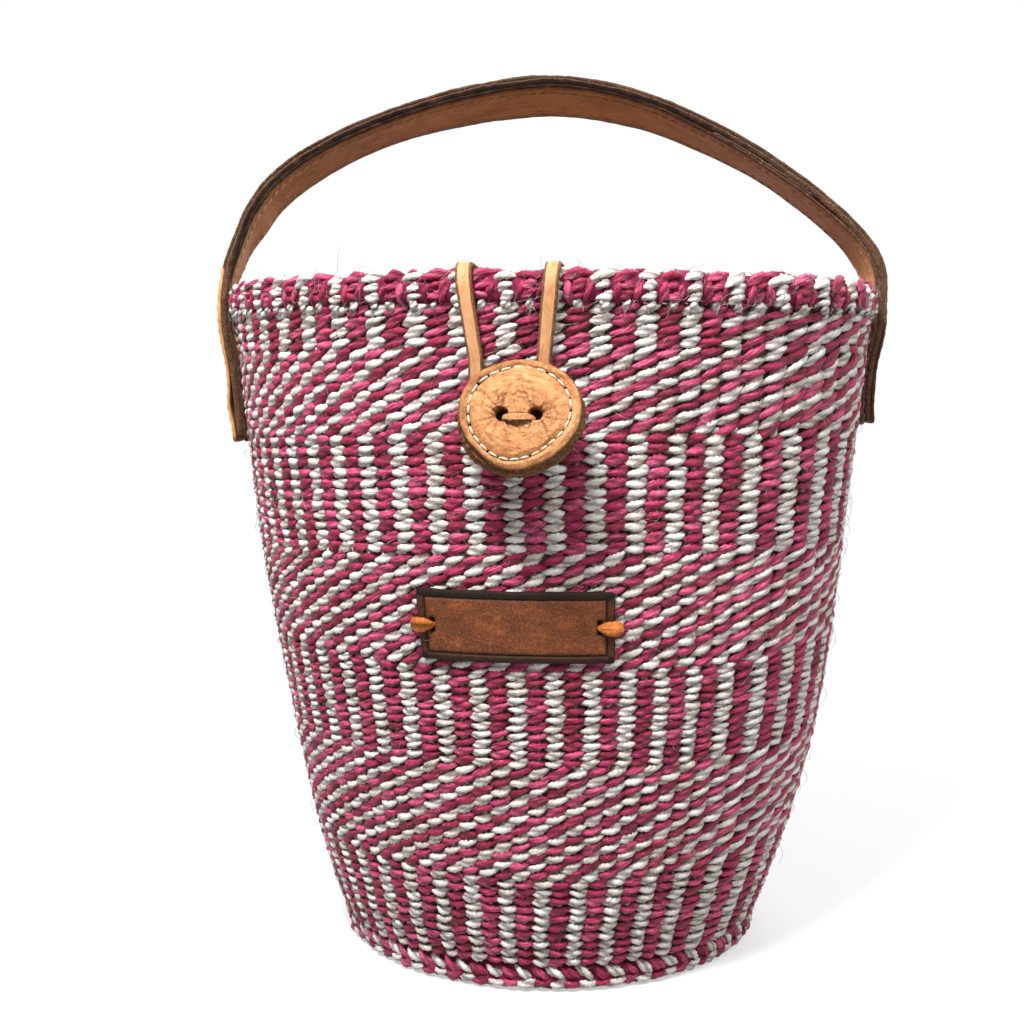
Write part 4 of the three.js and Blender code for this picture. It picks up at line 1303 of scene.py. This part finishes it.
seam_pitch = 4.1 * mm
thread_size = np.array([2.7 * mm, 0.75 * mm, 0.72 * mm])
along_seam = np.arange(5 * mm, even[-1] - 5 * mm, seam_pitch)
cover_depth = np.interp(along_seam, even, cover_top) - 0.02 * mm
lining_depth = np.interp(along_seam, even, lining_top) + lining_thickness
sunk = np.interp(along_seam, even, 0.42 * mm * smooth(strap_share, 0.6, 0.9)) - 0.06 * mm
seam_table = [
    # name, thread, place across the strap, depth, size against the plain stitch, 1 on the cover
    ("seam_cover_front", cream_thread, -8.8 * mm, cover_depth, (1.0, 1.0, 1.0), 1.0),
    ("seam_cover_back", cream_thread, 8.8 * mm, cover_depth, (1.0, 1.0, 1.0), 1.0),
    ("seam_lining_front", tan_thread, -6.0 * mm, lining_depth - sunk, (1.1, 1.1, 1.15), -1.0),
    ("seam_lining_back", tan_thread, 8.5 * mm, lining_depth - 0.12 * mm, (1.1, 1.0, 1.15), -1.0),
]
strap_threads = [
    seam(name, thread, along_seam, np.full(len(along_seam), w), depth, thread_size * size, over)
    for name, thread, w, depth, size, over in seam_table
]
across_seam = np.linspace(-6.4 * mm, 6.4 * mm, 4)
cross_at = np.array([6 * mm, 30 * mm, even[-1] - 6 * mm, even[-1] - 28 * mm])
cross_where, cross_w = (grid.ravel() for grid in np.meshgrid(cross_at, across_seam))
cross_depth = np.interp(cross_where, even, cover_top)
strap_threads.append(seam(
    "seam_ends", cream_thread, cross_where, cross_w, cross_depth, thread_size * (1.2, 1, 1), crosswise=True,
))
print("strap pieces:", len(strap_pieces), "seams:", len(strap_threads))

# %% [markdown]
# The closing loop is one strip of tan leather. Its two ends go through the back wall and are knotted inside.
# It comes over the back rim, crosses the mouth in two slack legs, folds over the front rim and hangs in a
# U that lies behind the button. It is swept along that route in three parts that bend where it bends.

# %% The closing loop
leg_spread = 13.15 * mm
foot_spread = 10.65 * mm
loop_rest = basket_height + 1.3 * mm
loop_sag = 4 * mm
loop_wide, loop_thick = 4.9 * mm, 1.9 * mm
loop_across = 6
fold_out, fold_up = 5.0 * mm, 6.5 * mm
fold_height = loop_rest - fold_up
leg_reach = rim_radius - 3.6 * mm
foot_centre = 194 * mm
straight_from = 213 * mm
tail_foot = 212 * mm


def fitted(x, y, z):
    """From the loop's own plane to the frame: turned with the fittings, centred on the mouth."""
    cosine, sine = math.cos(fittings_turn), math.sin(fittings_turn)
    return np.stack(np.broadcast_arrays(mouth_offset + x * cosine - y * sine, x * sine + y * cosine, z), -1)


def side_route(foot_height, step=1.2 * mm):
    """The strip's middle line from the side, from mid mouth over the rim and down, and its normals."""
    reach = np.linspace(0, leg_reach, 60)
    leg = np.stack([reach, loop_rest - loop_sag * (1 - (reach / leg_reach) ** 2)], 1)
    bend = np.linspace(0, math.pi / 2, 16)
    fold = np.stack([rim_radius + fold_out * np.sin(bend), fold_height + fold_up * np.cos(bend)], 1)
    foot = np.array([[float(wall_radius(foot_height)) + 1.3 * mm, foot_height]])
    route = resampled(np.concatenate([leg, fold, foot]), step)
    run = unit(np.gradient(route, axis=0))
    return route, np.stack([-run[:, 1], run[:, 0]], 1)


def strip(name, x, reach, z, normal, facing):
    """A strip of the loop. reach is measured from the middle of the mouth, to the front if facing is -1."""
    path = fitted(x, facing * reach, z)
    outward = fitted(0 * x, facing * normal[:, 0], normal[:, 1]) - fitted(0 * x, 0 * x, 0 * x)
    section = flat_section(loop_wide, loop_thick, loop_across, corner=0.45)
    n = len(path)
    rough = np.broadcast_to(section, (n,) + section.shape).copy()
    rough[..., 0] *= 1 + uneven(n, 9, 0.03)[:, None]
    rough[..., 0] += uneven_field(n, len(section), 2, 3, 0.05 * mm)
    rough[..., 1] += uneven_field(n, len(section), 5, 3, 0.05 * mm)
    made = skin_piece(name, sweep(path, outward, rough), loop_leather)
    made.data.materials.append(raw_edge)
    paint_edges(made, loop_across)
    return made


aims_at = 176 * mm  # the legs run down towards the wall at this height, and the bow cuts them short
route, normal = side_route(aims_at)
upper = route[:, 1] > foot_centre
route, normal = route[upper], normal[upper]
drawn_in = np.clip((basket_height - route[:, 1]) / (basket_height - straight_from), 0, 1)
half = leg_spread + (foot_spread - leg_spread) * drawn_in
half[route[:, 0] < leg_reach] = leg_spread
bow = np.linspace(0, math.pi / 2, 14)[1:]
bow_z = foot_centre - foot_spread * np.sin(bow)
line_run = route[-1] - route[-4]
bow_reach = route[-1, 0] + (bow_z - route[-1, 1]) * line_run[0] / line_run[1]
x = np.concatenate([half, foot_spread * np.cos(bow)])
reach = np.concatenate([route[:, 0], bow_reach])
z = np.concatenate([route[:, 1], bow_z])
normal = np.concatenate([normal, np.repeat(normal[-1:], len(bow), 0)])
there_and_back = np.concatenate([np.arange(len(x)), np.arange(len(x) - 1)[::-1]])
side = np.where(np.arange(len(there_and_back)) < len(x), -1.0, 1.0)
slack = uneven(len(there_and_back), 24, 0.35 * mm)
slack *= np.clip(np.minimum(np.arange(len(slack)), np.arange(len(slack))[::-1]) / 12, 0, 1)
loop_front = strip(
    "loop_front", side * x[there_and_back] + slack, reach[there_and_back], z[there_and_back],
    normal[there_and_back], -1.0,
)
back_route, back_normal = side_route(tail_foot)
tuck = np.array([[-1.0 * mm, -2.4 * mm], [-4.0 * mm, -3.4 * mm]]) + (back_route[-1, 0], tail_foot)
back_route = np.concatenate([back_route, tuck])
back_normal = np.concatenate([back_normal, unit(np.array([[0.9, -0.5], [0.35, -1.0]]))])
sides = (("left", -1), ("right", 1))
loop_backs = [
    strip(
        f"loop_back_{name}", np.full(len(back_route), sign * leg_spread), back_route[:, 0], back_route[:, 1],
        back_normal, 1.0,
    )
    for name, sign in sides
]


def knot(name, centre, across, outward, size, finish=tie_leather, cord=0.85 * mm):
    """An overhand knot: a tube along a trefoil."""
    angle = np.arange(60) * 2 * math.pi / 60
    trefoil = np.sin(angle) + 2 * np.sin(2 * angle), np.cos(angle) - 2 * np.cos(2 * angle), -np.sin(3 * angle)
    axes = np.stack([across, np.cross(outward, across), outward])
    path = np.asarray(centre) + size * np.stack(trefoil, 1) / 3 @ axes
    run = unit(np.roll(path, -1, 0) - np.roll(path, 1, 0))
    out = unit(np.cross(run, np.roll(run, -1, 0)))
    rings = tube_rings(path, out, np.cross(run, out), cord, 8)
    return skin_piece(name, skin(rings, girth=np.arange(9.0), closed=True), finish)


knot_depth = wall_thickness + 3.6 * mm


def knot_reach(z, across):
    """How far a knot behind the wall stands from the mouth's middle, along Y."""
    return math.sqrt((float(wall_radius(z)) - knot_depth) ** 2 - across ** 2)


fit_x = fitted(1.0, 0.0, 0.0) - fitted(0.0, 0.0, 0.0)
fit_y = fitted(0.0, 1.0, 0.0) - fitted(0.0, 0.0, 0.0)
tail_reach = knot_reach(tail_foot, leg_spread)
loop_knots = [
    knot(
        f"loop_knot_{name}", fitted(sign * leg_spread, tail_reach, tail_foot), fit_x, fit_y, 2.6 * mm,
        loop_leather,
    )
    for name, sign in sides
]
print("loop and knots made")

# %% [markdown]
# The button is three leathers on top of each other, cut by hand and so not quite round: a back, a rough
# middle and a padded face. A ring of cream stitches pulls the face down, cracks run from the two holes, and
# a short thong bridges them. Each leather is turned from rings of points round the button's axis, with
# rough fibrous edges.

# %% The button
button_height = 194.6 * mm
wall_at_button = float(wall_radius(button_height))
button_offset = 4.9 * mm
button_stand_off = 9.9 * mm
button_tilt = math.radians(-17)
button_radius = 18.5 * mm
button_flatness = 0.93
hole_half = 4.95 * mm
hole_radius = 1.85 * mm
back_top, middle_top = -2.15 * mm, -4.6 * mm  # the leathers' front faces along Y, from the button's back
around = 144
phi = np.arange(around) * 2 * math.pi / around


def on_button(points):
    """From the button's own frame, which faces -Y, to the basket's."""
    cosine, sine = math.cos(button_tilt), math.sin(button_tilt)
    x, y, z = points[..., 0], points[..., 1], points[..., 2]
    y, z = y * cosine - z * sine, y * sine + z * cosine
    return fitted(x + button_offset, y - wall_at_button - button_stand_off, z + button_height)


def by_angle(places, turns, rounds=30):
    """A value at every one of these turns, from its values at a few angles in degrees."""
    even_turns = np.linspace(-180, 180, 181)[:-1]
    value = np.interp(even_turns, list(places), list(places.values()), period=360)
    for _ in range(rounds):
        value = (np.roll(value, 1) + 2 * value + np.roll(value, -1)) / 4
    return np.interp(np.degrees(turns), even_turns, value, period=360)


# how far the cut outlines reach at these angles, against the radius: the face, and the leathers behind it
face_cut = by_angle({
    -165: 0.965, -137: 0.90, -106: 0.975, -79: 0.93, -46: 0.90, -12: 0.975,
    17: 1.035, 44: 1.06, 72: 1.015, 113: 1.0, 139: 1.06, 176: 0.985,
}, phi)
back_cut = by_angle({
    -165: 1.01, -137: 1.0, -106: 1.035, -79: 0.965, -46: 0.92, -12: 0.985,
    17: 1.03, 44: 1.05, 72: 1.0, 113: 0.975, 139: 1.04, 176: 1.015,
}, phi)
face_share, middle_share, back_share = 0.99, 0.985, 1.01  # the leathers' radii against the button's
# where the ring of stitches runs, as a share of the face's outline
ring_at = {-135: 0.87, -90: 0.82, -45: 0.78, 0: 0.82, 45: 0.83, 90: 0.85, 135: 0.84, 180: 0.83}


def dimple(x, z):
    """1 inside the two holes, fading out at their lips."""
    near = np.minimum(np.hypot(x - hole_half, z), np.hypot(x + hole_half, z))
    return 1 - smooth(near, hole_radius - 0.25 * mm, hole_radius + 0.3 * mm)


edge_levels = 6


def disc(name, outline, radius, front, back, finish, ragged, relief):
    """A round leather: front and back are its faces' places along Y, front at every share of the radius."""
    shares = np.concatenate([np.linspace(0.02, 0.93, 58), [0.96, 0.985]])
    on_front = len(shares)
    edge = outline * (1 + uneven(around, 5, 0.006)) * radius
    rows = [share * edge for share in shares]
    heights = [front(share) + 0 * phi for share in shares]
    for level in np.linspace(0.06, 0.94, edge_levels):
        round_off = 0.5 * mm * abs(2 * level - 1) ** 2.5
        rows.append(edge - round_off + uneven(around, 1.0, ragged) + uneven(around, 3, ragged))
        heights.append(front(1.0) * (1 - level) + back * level + uneven(around, 2, 0.3 * ragged))
    for share in shares[::-3]:
        rows.append(share * edge)
        heights.append(np.full(around, back))
    rows, heights = np.array(rows), np.array(heights)
    x, z = rows * np.cos(phi), button_flatness * rows * np.sin(phi)
    wear_and_shade = np.zeros_like(x)
    heights[:on_front], wear_and_shade[:on_front] = relief(x[:on_front], z[:on_front], heights[:on_front])
    points, corners, starts, _ = skin(on_button(np.stack([x, heights, z], 2)))
    # the faces have their UV map in the plane of the disc, the cut edge has it round the disc
    uv = np.stack([x.ravel(), z.ravel()], 1)[corners] / mm
    edge_uv = np.stack([np.tile(phi, len(rows)) * radius, heights.ravel()], 1)[corners] / mm
    face_row = np.repeat(np.arange(len(rows) - 1), around)
    on_edge = (face_row >= on_front - 1) & (face_row < on_front + edge_levels)
    on_edge = np.append(on_edge, [False, False])
    edge_corner = np.repeat(on_edge, np.diff(np.append(starts, len(corners))))
    uv[edge_corner] = edge_uv[edge_corner]
    made = new_piece(name, points, corners, starts, finish, uv=uv, yarn=wear_and_shade_yarn(wear_and_shade))
    made.data.materials.append(raw_edge)
    made.data.polygons.foreach_set("material_index", on_edge.astype(np.int32))
    return made


face_rim = 2.6 * mm
pad = 2.4 * mm
pad_share = [0, 0.33, 0.6, 0.74, 0.80, 0.825, 0.86, 0.91, 0.97, 1.0]
pad_rise = [0.90, 1.0, 0.86, 0.56, 0.22, -0.02, 0.22, 0.30, 0.08, -0.25]
ring_share = 0.825  # where the ring of stitches lies in that profile
# cracks run out from both holes: which hole, direction, length and how much they curl
cracks = [
    (sign, rng.uniform(-1, 1) * 2.6 + away, rng.uniform(4, 13) * mm, rng.normal(0, 0.3))
    for sign, away in ((-1, math.pi), (1, 0)) for _ in range(19)
]


def face_front(share, turns=phi):
    """The padded face along Y at a share of its radius, dented where the ring of stitches pulls it down."""
    ring = by_angle(ring_at, turns)
    inner, outer = share / ring * ring_share, 1 - (1 - share) / (1 - ring) * (1 - ring_share)
    rise = np.interp(np.where(share < ring, inner, outer), pad_share, pad_rise)
    return middle_top - face_rim - rise * pad


def ring_reach(turns):
    outline = np.interp(np.degrees(turns), np.degrees(phi), face_cut, period=360)
    return by_angle(ring_at, turns) * outline * face_share * button_radius


def bump_line(distance, half_width):
    return np.exp(-((distance / half_width) ** 2))


def face_relief(x, z, heights):
    """Pebbles, one long crease, the cracks and the two holes, pressed into the padded face."""
    pebbles = uneven_field(*x.shape, 1.6, 3, 0.07 * mm) + uneven_field(*x.shape, 3, 6, 0.1 * mm)
    pebbles = pebbles + uneven_field(*x.shape, 8, 16, 0.14 * mm)
    upper_left = smooth(z - 0.5 * x, -4 * mm, 10 * mm)
    pebbles = pebbles * (0.9 + 1.0 * upper_left) * smooth(np.hypot(x, z), 0, 5 * mm)
    from_crease = np.abs(z + 0.86 * (x + hole_half) - 1.0 * mm + 0.5 * mm * np.sin(x / (1.3 * mm)))
    crease = bump_line(np.where(x < -hole_half, from_crease, 9 * mm), 0.42 * mm)
    pebbles = pebbles + 0.6 * mm * crease
    # painted shade: the long crease is darkened in the colour
    wear_and_shade = 0.38 * crease
    for sign, angle, length, curl in cracks:
        from_hole = np.hypot(x - sign * hole_half, z)
        away = (from_hole - hole_radius) / length
        off = (np.arctan2(z, x - sign * hole_half) - angle - curl * away + math.pi) % (2 * math.pi) - math.pi
        depth = bump_line(off * from_hole, 0.3 * mm) * (1 - np.clip(away, 0, 1))
        depth = depth * (from_hole > 0.8 * hole_radius)
        pebbles = pebbles + 0.5 * mm * depth
        wear_and_shade = np.maximum(wear_and_shade, 0.5 * depth)
    hole = dimple(x, z)
    lip = dimple(x * 0.9, z * 0.9)
    turns = np.arctan2(z / button_flatness, x)
    from_ring = np.hypot(x, z / button_flatness) - ring_reach(turns)
    # painted shade along the groove of the ring of stitches, and on the margin outside the ring on its upper
    # side
    wear_and_shade = np.maximum(wear_and_shade, 0.15 * bump_line(from_ring, 0.5 * mm))
    wear_and_shade = np.maximum(wear_and_shade, 0.34 * smooth(from_ring, 0, 1.2 * mm) * smooth(np.sin(turns - 0.7), 0, 0.9))
    # painted shade: the holes are near black
    wear_and_shade = np.maximum(wear_and_shade, np.clip(1.4 * hole, 0, 1))
    return heights + pebbles * (1 - hole) + 0.5 * mm * (lip - hole) + 4.6 * mm * hole, wear_and_shade


def plain_relief(x, z, heights):
    return heights + uneven_field(*x.shape, 4, 10, 0.06 * mm), np.zeros_like(x)


button_pieces = [
    disc(
        "button_back_leather", back_cut * (1 + uneven(around, 9, 0.008)), button_radius * back_share,
        lambda share: back_top, 0.0, back_leather, 0.2 * mm, plain_relief,
    ),
    disc(
        "button_middle_leather", back_cut * (1 + uneven(around, 9, 0.008)), button_radius * middle_share,
        lambda share: middle_top, back_top, back_leather, 0.24 * mm, plain_relief,
    ),
    disc(
        "button_face_leather", face_cut, button_radius * face_share, face_front, middle_top, face_leather,
        0.17 * mm, face_relief,
    ),
]

stitches = 27
at = np.arange(stitches) * 2 * math.pi / stitches + rng.normal(0, 0.012, stitches)


def ring_place(angle, lift):
    radius = ring_reach(angle)
    height = face_front(by_angle(ring_at, angle), angle) - lift
    return on_button(np.stack([radius * np.cos(angle), height, button_flatness * radius * np.sin(angle)], 1))


half_stitch = 0.40 * 2 * math.pi / stitches
stitch_from, stitch_to = ring_place(at - half_stitch, 0.25 * mm), ring_place(at + half_stitch, 0.25 * mm)
run = stitch_to - stitch_from
button_middle = on_button(np.zeros((1, 3)))
outward = np.repeat(unit(on_button(np.array([[0, -1.0, 0]])) - button_middle), stitches, 0)
axes = np.stack([unit(run), -outward, np.cross(unit(run), -outward)], 2)
stitch_long = 1.1 * np.linalg.norm(run, axis=1)
stitch_sizes = np.stack([stitch_long, np.full(stitches, 0.95 * mm), np.full(stitches, 0.78 * mm)], 1)
button_threads = copies(
    "button_stitches", thread_model, cream_thread, (stitch_from + stitch_to) / 2, axes, stitch_sizes,
)
# the stitch holes get near-black pits: painted shade in the holes
pit_size = np.array([[1.5 * mm, 0.7 * mm, 1.5 * mm]])
pits = copies(
    "button_stitch_holes", thread_model, painted_shade_pit, ring_place(at + math.pi / stitches, -0.12 * mm), axes,
    pit_size * rng.normal(1, 0.1, (stitches, 3)),
)

bridge_out, bridge_in = -9.7 * mm, -5.2 * mm
bridge_low = -1.3 * mm
bridge_half = 4.3 * mm
bridge_across = 5
half_bridge = [
    (bridge_half, bridge_in), (bridge_half, -8.2 * mm), (3.7 * mm, bridge_out),
    (1.9 * mm, bridge_out - 0.7 * mm),
]
bridge = [(-x, y) for x, y in half_bridge] + [(0, bridge_out - 0.9 * mm)] + half_bridge[::-1]
bridge = softened(resampled(np.array(bridge), 0.35 * mm), 3)
bridge_run = unit(np.gradient(bridge, axis=0))
bridge_path = on_button(np.stack([bridge[:, 0], bridge[:, 1], np.full(len(bridge), bridge_low)], 1))
bridge_normal = np.stack([bridge_run[:, 1], -bridge_run[:, 0], np.zeros(len(bridge))], 1)
bridge_normal = on_button(bridge_normal) - button_middle
bridge_wide = np.interp(np.abs(bridge[:, 0]), [0, 2.2 * mm, 4.2 * mm], [1.1, 0.98, 0.6])
bridge_section = flat_section(2.9 * mm, 1.2 * mm, bridge_across, corner=0.45)
bridge_section = bridge_section * np.stack([bridge_wide, np.ones(len(bridge))], 1)[:, None]
thong = skin_piece("button_bridge", sweep(bridge_path, bridge_normal, bridge_section), face_leather)
thong.data.materials.append(raw_core)
paint_edges(thong, bridge_across)


def thong_tube(name, path, radius):
    """A round thong along a straight path, from the wall to the button."""
    path = resampled(np.asarray(path), 0.5 * mm)
    run = unit(np.gradient(path, axis=0))
    out = unit(np.cross(run, np.array([[0, 0, 1.0]])))
    reach = radius * (1 + uneven_field(len(path), 9, 3, 3, 0.05))
    rings = tube_rings(path, out, np.cross(run, out), reach, 9)
    return skin_piece(name, skin(rings, lengths_along(path) / mm, np.arange(10.0)), tie_leather)


shank_half = 3.2 * mm
back_of_button = -(wall_at_button + button_stand_off)
shanks = [
    thong_tube(f"button_shank_{name}_thong", [
        fitted(sign * shank_half, -wall_at_button + 2 * mm, button_height),
        fitted(button_offset + sign * hole_half, back_of_button + 0.6 * mm, button_height),
    ], 1.25 * mm)
    for name, sign in sides
]
knot_place = fitted(0.0, -knot_reach(button_height, shank_half), button_height)
button_knot = knot("button_knot_thong", knot_place, fit_x, fit_y, 2.7 * mm)
print("button made")

# %% [markdown]
# The label is a small panel of dark brown leather that follows the wall. A border line is pressed into it,
# and its edges were cut hot, so they are black. Its face stays bare inside the line. Two short orange
# thongs hold it: each comes out of a slot, bulges over the label's edge and goes back between the strands.

# %% The label and its ties
label_width, label_height, label_thick = 62 * mm, 23 * mm, 1.6 * mm
label_middle = 130 * mm
line_inset = 2.5 * mm
tie_across = label_width / 2 - 4.6 * mm


def label_turn(across):
    return fittings_turn + across / float(wall_radius(label_middle))


def beside_wall(turn, z, stand_off):
    return at_turn(turn, wall_radius(z) + stand_off, z)


# the panel's grid of points is fine near its edges, where the border line is pressed
near_edge = np.array([
    0, 0.25, 0.6, 1.1, 1.6, 2.0, 2.25, 2.5, 2.75, 3.0, 3.5, 4.0, 4.3, 4.6, 4.9, 5.2, 5.8,
]) * mm
near_side = near_edge[:12]
inner_u = np.linspace(6.6 * mm, label_width - 6.6 * mm, 64)
inner_v = np.linspace(4.6 * mm, label_height - 4.6 * mm, 24)
columns = np.concatenate([near_edge, inner_u, label_width - near_edge[::-1]])
rows = np.concatenate([near_side, inner_v, label_height - near_side[::-1]])
grid = len(columns), len(rows)
u, v = np.meshgrid(columns, rows, indexing="ij")
to_end, to_side = np.minimum(u, label_width - u), np.minimum(v, label_height - v)
to_edge = np.minimum(to_side, to_end)
line = bump_line(to_edge - line_inset, 0.40 * mm)
slot_near = np.abs(np.abs(u - label_width / 2) - tie_across)
slot_tall = 1 - smooth(np.abs(v - label_height / 2), 2.1 * mm, 2.7 * mm)
slot = (1 - smooth(slot_near, 0.45 * mm, 0.95 * mm)) * slot_tall
pebbled = uneven_field(*grid, 2, 2, 0.03 * mm) + uneven_field(*grid, 9, 6, 0.08 * mm)
rounded_edge = 0.35 * mm * (1 - smooth(to_edge, 0, 0.8 * mm))
front = seat_gap + label_thick + pebbled - 0.55 * mm * line - rounded_edge - 1.2 * mm * slot
# its outline is cut unevenly, and its corners are drawn in
inward_u, inward_v = np.where(u < label_width / 2, 1, -1), np.where(v < label_height / 2, 1, -1)
ragged_u = inward_u * (1 - smooth(to_end, 0, 3 * mm)) * uneven(len(rows), 5, 0.12 * mm)[None]
ragged_v = (1 - smooth(to_side, 0, 3 * mm)) * uneven(len(columns), 7, 0.12 * mm)[:, None]
corner_reach = 1.4 * mm
corner_share = np.clip(corner_reach - to_end, 0, None) / corner_reach
pull = 0.5 * mm * corner_share ** 2 * inward_v * (1 - smooth(to_side, 0, 2 * mm))
turns = label_turn(u + ragged_u - label_width / 2)
height = label_middle - label_height / 2 + v + ragged_v + pull
rings = np.concatenate([beside_wall(turns, height, front), beside_wall(turns, height, 0.2 * mm)[:, ::-1]], 1)
# it is darker in a band outside the line, most of all at the top, and burnt black at its edge
outside_line = 1 - smooth(to_edge, line_inset - 0.6 * mm, line_inset + 0.3 * mm)
upper_band = 0.6 * smooth(v, label_height - 3 * mm, label_height - 1.5 * mm)
lower_band = 0.5 * (1 - smooth(v, 1.5 * mm, 3 * mm))
side_band = 0.22 * (1 - smooth(to_end, line_inset - 0.6 * mm, line_inset + 0.3 * mm))
band = (0.36 + upper_band + lower_band + side_band) * outside_line
halo = 0.22 * (1 - smooth(to_edge, line_inset, line_inset + 2.2 * mm))
burnt = 1 - smooth(to_edge, 0.1 * mm, 0.8 * mm)
# the slots are darkened too: painted shade in their openings
wear_and_shade = np.clip(np.maximum.reduce([band, halo, burnt, 1.25 * line, slot]), 0, 1)
wear_and_shade = np.concatenate([wear_and_shade, np.ones_like(wear_and_shade)], 1)
points, corners, starts, _ = skin(rings)
flat_uv = np.stack([np.concatenate([u, u], 1).ravel(), np.concatenate([v, v[:, ::-1]], 1).ravel()], 1) / mm
label = new_piece(
    "label_panel", points, corners, starts, label_leather, uv=flat_uv[corners], yarn=wear_and_shade_yarn(wear_and_shade),
)


def tie(name, sign):
    """Out of the slot, over the label's edge, back between the strands."""
    route = np.array([  # across from the slot, and away from the wall
        [-0.5, 0.7], [-0.1, 1.9], [0.9, 3.0], [2.6, 3.7], [4.4, 3.7],
        [5.9, 2.9], [6.8, 1.4], [7.0, -0.4], [6.9, -2.0],
    ]) * mm
    route = softened(resampled(route, 0.3 * mm), 4)
    turns = label_turn(sign * (tie_across + route[:, 0]))
    path = beside_wall(turns, np.full(len(route), label_middle), route[:, 1])
    run = unit(np.gradient(route, axis=0))
    out, along = bearings(turns)
    normal = -run[:, 1:2] * along * sign + run[:, :1] * out
    section = flat_section(1.0, 1.0, 9, corner=0.5)
    share = lengths_along(route) / lengths_along(route)[-1]
    wide = np.interp(share, [0, 0.1, 0.3, 0.5, 0.68, 0.82, 1.0], [1.0, 2.2, 4.6, 4.9, 3.3, 1.2, 0.7]) * mm
    thick = np.interp(share, [0, 0.15, 0.5, 0.85, 1.0], [0.9, 1.4, 1.8, 1.4, 1.0]) * mm
    shaped = section[None] * np.stack([wide, thick], 1)[:, None]
    creases = np.sin(np.linspace(0, 2 * math.pi * 3.3, len(section)))[None] * np.sin(math.pi * share)[:, None]
    shaped[..., 1] += 0.3 * mm * creases + uneven_field(len(route), len(section), 3, 3, 0.08 * mm)
    return skin_piece(name, sweep(path, normal, shaped), tie_leather)


ties = [tie(f"label_tie_{name}_thong", sign) for name, sign in sides]
label_knots = []
for name, sign in sides:
    turn = label_turn(sign * (tie_across + 2.2 * mm))
    out, side = bearings(turn)
    centre = beside_wall(turn, label_middle, -knot_depth)
    label_knots.append(knot(f"label_knot_{name}_thong", centre, side, -out, 2.5 * mm))
print("label and ties made")

# %% [markdown]
# Most pieces ride with the body of the nodes that they replace. The strap, its seams, the loop and the
# button's shanks are baked in place instead, and the nodes that they replace are hidden.

# %% Bodies and replaced nodes
def put(pieces, body, slot, *nodes):
    for piece in pieces if isinstance(pieces, list) else [pieces]:
        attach(piece, body)
        if nodes:
            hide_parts(*nodes)


put(wall_pieces + [deep_shell, warps_piece], "basket", "sisal_weave", "woven_wall")
put(rim_pieces + [rim_core], "basket", "sisal_weave", "rim_braid")
put(edge_pieces + [edge_core], "basket", "sisal_weave", "base_edge_braid")
put(base_pieces + [base_disc], "basket", "sisal_base", "woven_base")
put(loose[:2], "basket", "sisal_weave", "woven_wall")
put(loose[2:], "basket", "sisal_weave", "rim_braid")
put(label, "basket", "label_leather", "leather_label")
put(button_knot, "basket", "thong_leather", "button_knot")
for k, (name, _) in enumerate(sides):
    put(ties[k], "basket", "thong_leather", "label_tie_" + name)
    put(label_knots[k], "basket", "thong_leather", "label_knot_" + name)
    put(loop_knots[k], "basket", "tan_leather", "loop_knot_" + name)
put(button_pieces[0], "button", "label_leather", "button_back")
put(button_pieces[1], "button", "strap_core", "button_middle")
put([button_pieces[2], button_threads, pits], "button", "tan_leather", "button_face")
put(thong, "button", "thong_leather", "button_thong")


def bend(piece, from_body, to_body, start, end, slot, *nodes):
    start, end = (tuple(map(float, place)) for place in (start, end))
    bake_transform(piece)
    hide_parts(*nodes)


shank_root = fitted(2.0 * mm, -wall_at_button, button_height)
shank_tip = fitted(button_offset, back_of_button + 1.2 * mm, button_height)
for piece, (name, _) in zip(shanks, sides):
    bend(piece, "basket", "button", shank_root, shank_tip, "thong_leather", "button_shank_" + name)

strap_nodes = [
    # slot, and the nodes that one strip from end to end stands for
    ("strap_leather", "handle_cover", "strap_end_left_cover", "strap_end_right_cover"),
    ("strap_core", "handle_core", "strap_end_left_core", "strap_end_right_core"),
    ("strap_leather", "handle_lining_long", "strap_end_left_lining", "strap_end_right_lining"),
]
bend_from, bend_to = (0, 0, hinge_height - 10 * mm), (0, 0, hinge_height + 10 * mm)
for piece, (slot, *nodes) in zip(strap_pieces, strap_nodes):
    bend(piece, "basket", "handle", bend_from, bend_to, slot, *nodes)
for piece in strap_threads:
    node = "handle_lining_long" if "lining" in piece.name else "handle_cover"
    bend(piece, "basket", "handle", bend_from, bend_to, "strap_leather", node)
put(strap_pieces[3], "handle", "strap_leather", "handle_lining_short")

rim_outside, rim_inside = (113 * mm, 236 * mm), (106 * mm, 243 * mm)  # reach and height
for piece, (name, _) in zip(loop_backs, sides):
    start, end = (fitted(0.0, reach, z) for reach, z in (rim_outside, rim_inside))
    bend(piece, "basket", "loop_span", start, end, "tan_leather", "loop_tail_" + name, "loop_leg_" + name)
start, end = (fitted(0.0, -reach, z) for reach, z in (rim_inside, rim_outside))
bend(
    loop_front, "loop_span", "loop_end", start, end, "tan_leather",
    "loop_drop", "loop_leg_left", "loop_leg_right",
)
print("all pieces are placed")
